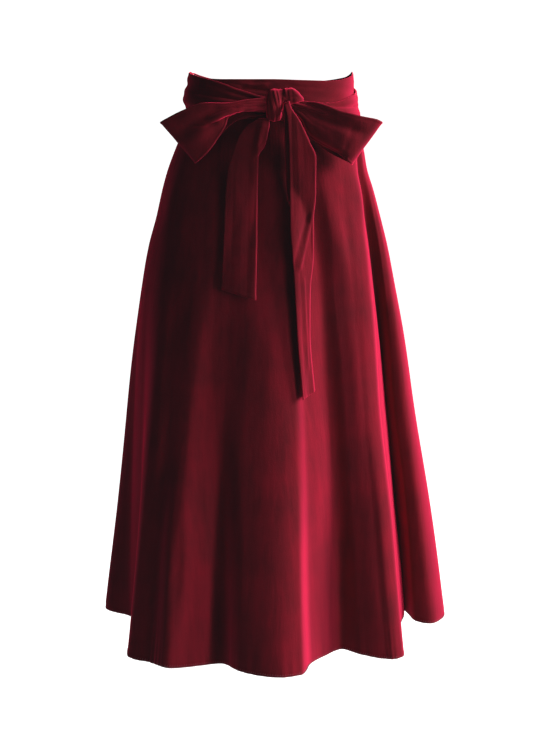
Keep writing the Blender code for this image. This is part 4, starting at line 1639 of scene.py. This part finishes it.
    def tail_section(self, edge: float, turn: float, under: float, last: float) -> np.ndarray:
        """Places across a folded tail.

        Args:
            edge: Where the front layer begins.
            turn: Where it turns under.
            under: The share of the width that the second layer reaches across.
            last: The same for the third layer, or 0 for none.

        Returns:
            Rows of x and layer, the front layer being 0.
        """
        way = math.copysign(1.0, turn - edge)
        width = abs(turn - edge)
        bend = min(self.bend, self.narrow_bend * width)
        inner_turn = turn - way * bend
        second_end = turn - way * max(width * under, self.least_bends * bend)
        inner_second = second_end + way * bend
        back_end = inner_second if last > 0 else second_end
        steps = np.linspace(0.0, 1.0, self.tail_cells + 1)
        arc = np.linspace(0.0, np.pi, self.bend_cells)[1:-1]
        section = [(edge + (inner_turn - edge) * s, 0.0) for s in steps]
        section += [(inner_turn + way * bend * math.sin(a), (1 - math.cos(a)) / 2) for a in arc]
        section += [(inner_turn + (back_end - inner_turn) * s, 1.0) for s in steps]
        if last > 0:
            reach = way * max(width * last, bend)
            section += [(inner_second - way * bend * math.sin(a), (3 - math.cos(a)) / 2) for a in arc]
            section += [(inner_second + reach * s, 2.0) for s in steps[::2]]
        return np.array(section)

    def tail(
        self, side: Side, rows: Sequence[Tail], creases: Sequence[Crease], length: float
    ) -> Piece:
        """A tail of the bow, folded lengthwise.

        Args:
            side: Which side of the knot it leaves.
            rows: Its table.
            creases: The creases of its front layer.
            length: Its length along the cloth.

        Returns:
            The tail.
        """
        lines = even_lines(rows, np.linspace(0.0, len(rows) - 1, self.tail_rows + 1))
        layers = 2 if max(column(rows, "last")) > 0 else 1
        lean = self.left_lean if side is Side.LEFT else 0.0
        reach = layers * self.layer_step + self.tail_clearance + lean
        grid = []
        for row in range(self.tail_rows + 1):
            here = {name: float(line[row]) for name, line in lines.items()}
            edge, turn = here["edge_x"], here["turn_x"]
            x, layer = self.tail_section(edge, turn, here["under"], here["last"]).T
            share = np.clip((x - edge) / (turn - edge), 0.0, 1.0)
            z = here["edge_z"] + (here["turn_z"] - here["edge_z"]) * share
            lying = self.drape.front_depth(x, float(z.mean())) - reach
            y = np.minimum(here["hang"], lying) + layer * self.layer_step + lean * (1.0 - share)
            grid.append(np.stack([x, y, z], -1))
        middle = self.settled(np.array(grid))
        front = np.clip(1.0 - layer / self.front_layer, 0.0, 1.0)
        x, z = middle[..., 0], middle[..., 2]
        wide, long = self.tail_stretch
        relief = self.tail_crumple * self.crumple.at(x * wide, z * long)
        relief = relief + front * crease_relief(creases, x, z)
        relief = relief * np.clip((rows[0].edge_z - z) / self.tail_start, 0.0, 1.0)
        return self.strip(f"sash_tail_{side.value}", middle, relief, length)

    @staticmethod
    def settled(middle: np.ndarray, rounds: int = 6, most: float = 0.0008) -> np.ndarray:
        """A tail with its depth eased down its length.

        Args:
            middle: The grid of its middle.
            rounds: How often it is eased.
            most: The farthest that a point may sink back.

        Returns:
            The eased grid.
        """
        depth = middle[..., 1].copy()
        for _ in range(rounds):
            depth[1:-1] = (depth[:-2] + 2 * depth[1:-1] + depth[2:]) / 4
        eased = middle.copy()
        eased[..., 1] = np.minimum(depth, middle[..., 1] + most)
        return eased

    def build(self) -> list[Piece]:
        return [
            self.wrap(),
            self.knot(),
            self.loop(Side.LEFT, LEFT_LOOP, LEFT_LOOP_CREASES),
            self.loop(Side.RIGHT, RIGHT_LOOP, RIGHT_LOOP_CREASES),
            self.tail(Side.LEFT, LEFT_TAIL, LEFT_TAIL_CREASES, 0.25),
            self.tail(Side.RIGHT, RIGHT_TAIL, RIGHT_TAIL_CREASES, 0.42),
        ]


@dataclass(frozen=True)
class Softbox:
    """A rectangular soft light: where it stands, what it points at, its size and power."""

    name: str
    at: Sizes
    aim: Sizes
    size: tuple[float, float]
    watts: float
    spread: float = 90.0
    colour: Sizes = (1.0, 0.985, 0.97)

    def build(self) -> None:
        """Sets up the light."""
        data = bpy.data.lights.new(self.name, "AREA")
        data.shape = "RECTANGLE"
        data.size, data.size_y = self.size
        data.energy = self.watts
        data.spread = math.radians(self.spread)
        data.color = self.colour
        made = bpy.data.objects.new(self.name, data)
        made.location = self.at
        way = Vector(self.aim) - Vector(self.at)
        made.rotation_euler = way.to_track_quat("-Z", "Y").to_euler()
        bpy.context.scene.collection.objects.link(made)


@dataclass
class Studio:
    """The pale floor and backdrop, the soft lights and the camera."""

    floor_z: float = -1.04
    camera_at: Sizes = (0.006, -2.2425, 0.0)
    camera_down: float = 11.18
    focal_length: float = 72.98
    frame_height: float = 36.0
    half_width: float = 7.0
    nearest: float = -6.0
    farthest: float = 3.2
    bend: float = 1.6
    bend_steps: int = 16
    rise: float = 4.0
    glow_from: float = -2.6
    glow_to: float = -1.2
    room_light: float = 0.012
    backdrop_light: float = 0.045
    seen_light: float = 1.05
    room_colour: Colour = (0.92, 0.94, 1.0, 1.0)
    paper_dark: Colour = (0.42, 0.42, 0.425, 1.0)
    paper_pale: Colour = (0.45, 0.45, 0.455, 1.0)
    boxes: tuple[Softbox, ...] = (
        Softbox("key_right", (2.20, -0.36, 0.55), (0.0, 0.0, -0.3), (0.7, 1.3), 34.5),
        Softbox("soft_right", (1.75, -1.65, 0.35), (0.0, 0.0, -0.2), (0.6, 1.2), 3.1),
        Softbox("low_right", (1.70, -1.45, -0.5), (-0.12, -0.23, -0.68), (0.4, 0.5), 1.4, 34.0),
        Softbox("fill_front", (-0.35, -2.6, 0.6), (0.0, 0.0, -0.4), (0.9, 1.4), 0.6),
        Softbox("back", (0.30, 2.7, 0.7), (0.0, 0.0, -0.35), (1.0, 1.4), 8.0, 60.0),
    )

    def backdrop(self) -> None:
        """A floor that curves up into a wall behind."""
        bend, half = self.bend, self.half_width
        start = self.farthest - bend
        turns = [math.pi / 2 * step / self.bend_steps for step in range(1, self.bend_steps + 1)]
        profile = [
            (self.nearest, self.floor_z),
            (start, self.floor_z),
            *((start + bend * math.sin(a), self.floor_z + bend * (1 - math.cos(a))) for a in turns),
            (self.farthest, self.floor_z + bend + self.rise),
        ]
        points = np.array([[(x, y, z) for y, z in profile] for x in (-half, half)])
        count = len(profile)
        faces = [(i, count + i, count + i + 1, i + 1) for i in range(count - 1)]
        ClothMesh.make("studio_backdrop", points, faces, (self.paper(),))

    def paper(self) -> Material:
        """Plain pale paper that glows softly and looks white to the camera."""
        made = bpy.data.materials.new("pale_paper")
        board = NodeBoard(made)
        depth = board.add("SeparateXYZ", "Y", {"Vector": board.add("TexCoord", "Object")})
        glow = {
            "Value": depth,
            "From Min": self.glow_from,
            "From Max": self.glow_to,
            "To Min": 0.0,
            "To Max": self.backdrop_light,
        }
        seen = {
            "Value": board.add("LightPath", "Is Camera Ray"),
            "To Min": board.add("MapRange", "Result", glow, interpolation_type="SMOOTHSTEP"),
            "To Max": self.seen_light,
        }
        mottle = board.add("TexNoise", "Fac", {"Scale": 3.0})
        board.shade({
            "Base Color": board.ramp(mottle, (0.0, self.paper_dark), (1.0, self.paper_pale)),
            "Roughness": 0.9,
            "Specular IOR Level": 0.1,
            "Emission Color": WHITE,
            "Emission Strength": board.add("MapRange", "Result", seen),
        })
        return made

    def room(self) -> None:
        """A dim room that looks white to the camera."""
        world = bpy.data.worlds.new("pale_room")
        board = NodeBoard(world)
        light = {"Color": self.room_colour, "Strength": self.room_light}
        choose = {
            "Fac": board.add("LightPath", "Is Camera Ray"),
            1: board.feed(board.tree.nodes["Background"], light).outputs["Background"],
            2: board.add("Background", "Background", {"Color": WHITE}),
        }
        chosen = board.add("MixShader", "Shader", choose)
        board.feed(board.tree.nodes["World Output"], {"Surface": chosen})
        bpy.context.scene.world = world

    def camera(self) -> None:
        """The camera at the photograph's angle."""
        data = bpy.data.cameras.new("camera")
        data.sensor_fit = "VERTICAL"
        data.sensor_height = self.frame_height
        data.lens = self.focal_length
        data.clip_start, data.clip_end = 0.05, 50.0
        made = bpy.data.objects.new("camera", data)
        made.location = self.camera_at
        made.rotation_euler = (math.radians(90.0 - self.camera_down), 0.0, 0.0)
        bpy.context.scene.collection.objects.link(made)
        bpy.context.scene.camera = made

    def build(self) -> None:
        """Sets up the studio."""
        self.backdrop()
        self.room()
        for box in self.boxes:
            box.build()
        self.camera()
        bpy.context.scene.view_settings.view_transform = "Standard"


def main() -> None:
    """Builds the studio and the skirt, and reports each piece."""
    logging.basicConfig(level=logging.INFO, format="%(name)s: %(message)s")
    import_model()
    Studio().build()
    finishes = Wardrobe.make()
    drape = Drape()
    for assembly in (SkirtPanels, Waistband, TiedSash):
        for piece in assembly(drape, finishes).build():
            LOG.info("built %s", piece.name)


if __name__ == "__main__":
    main()
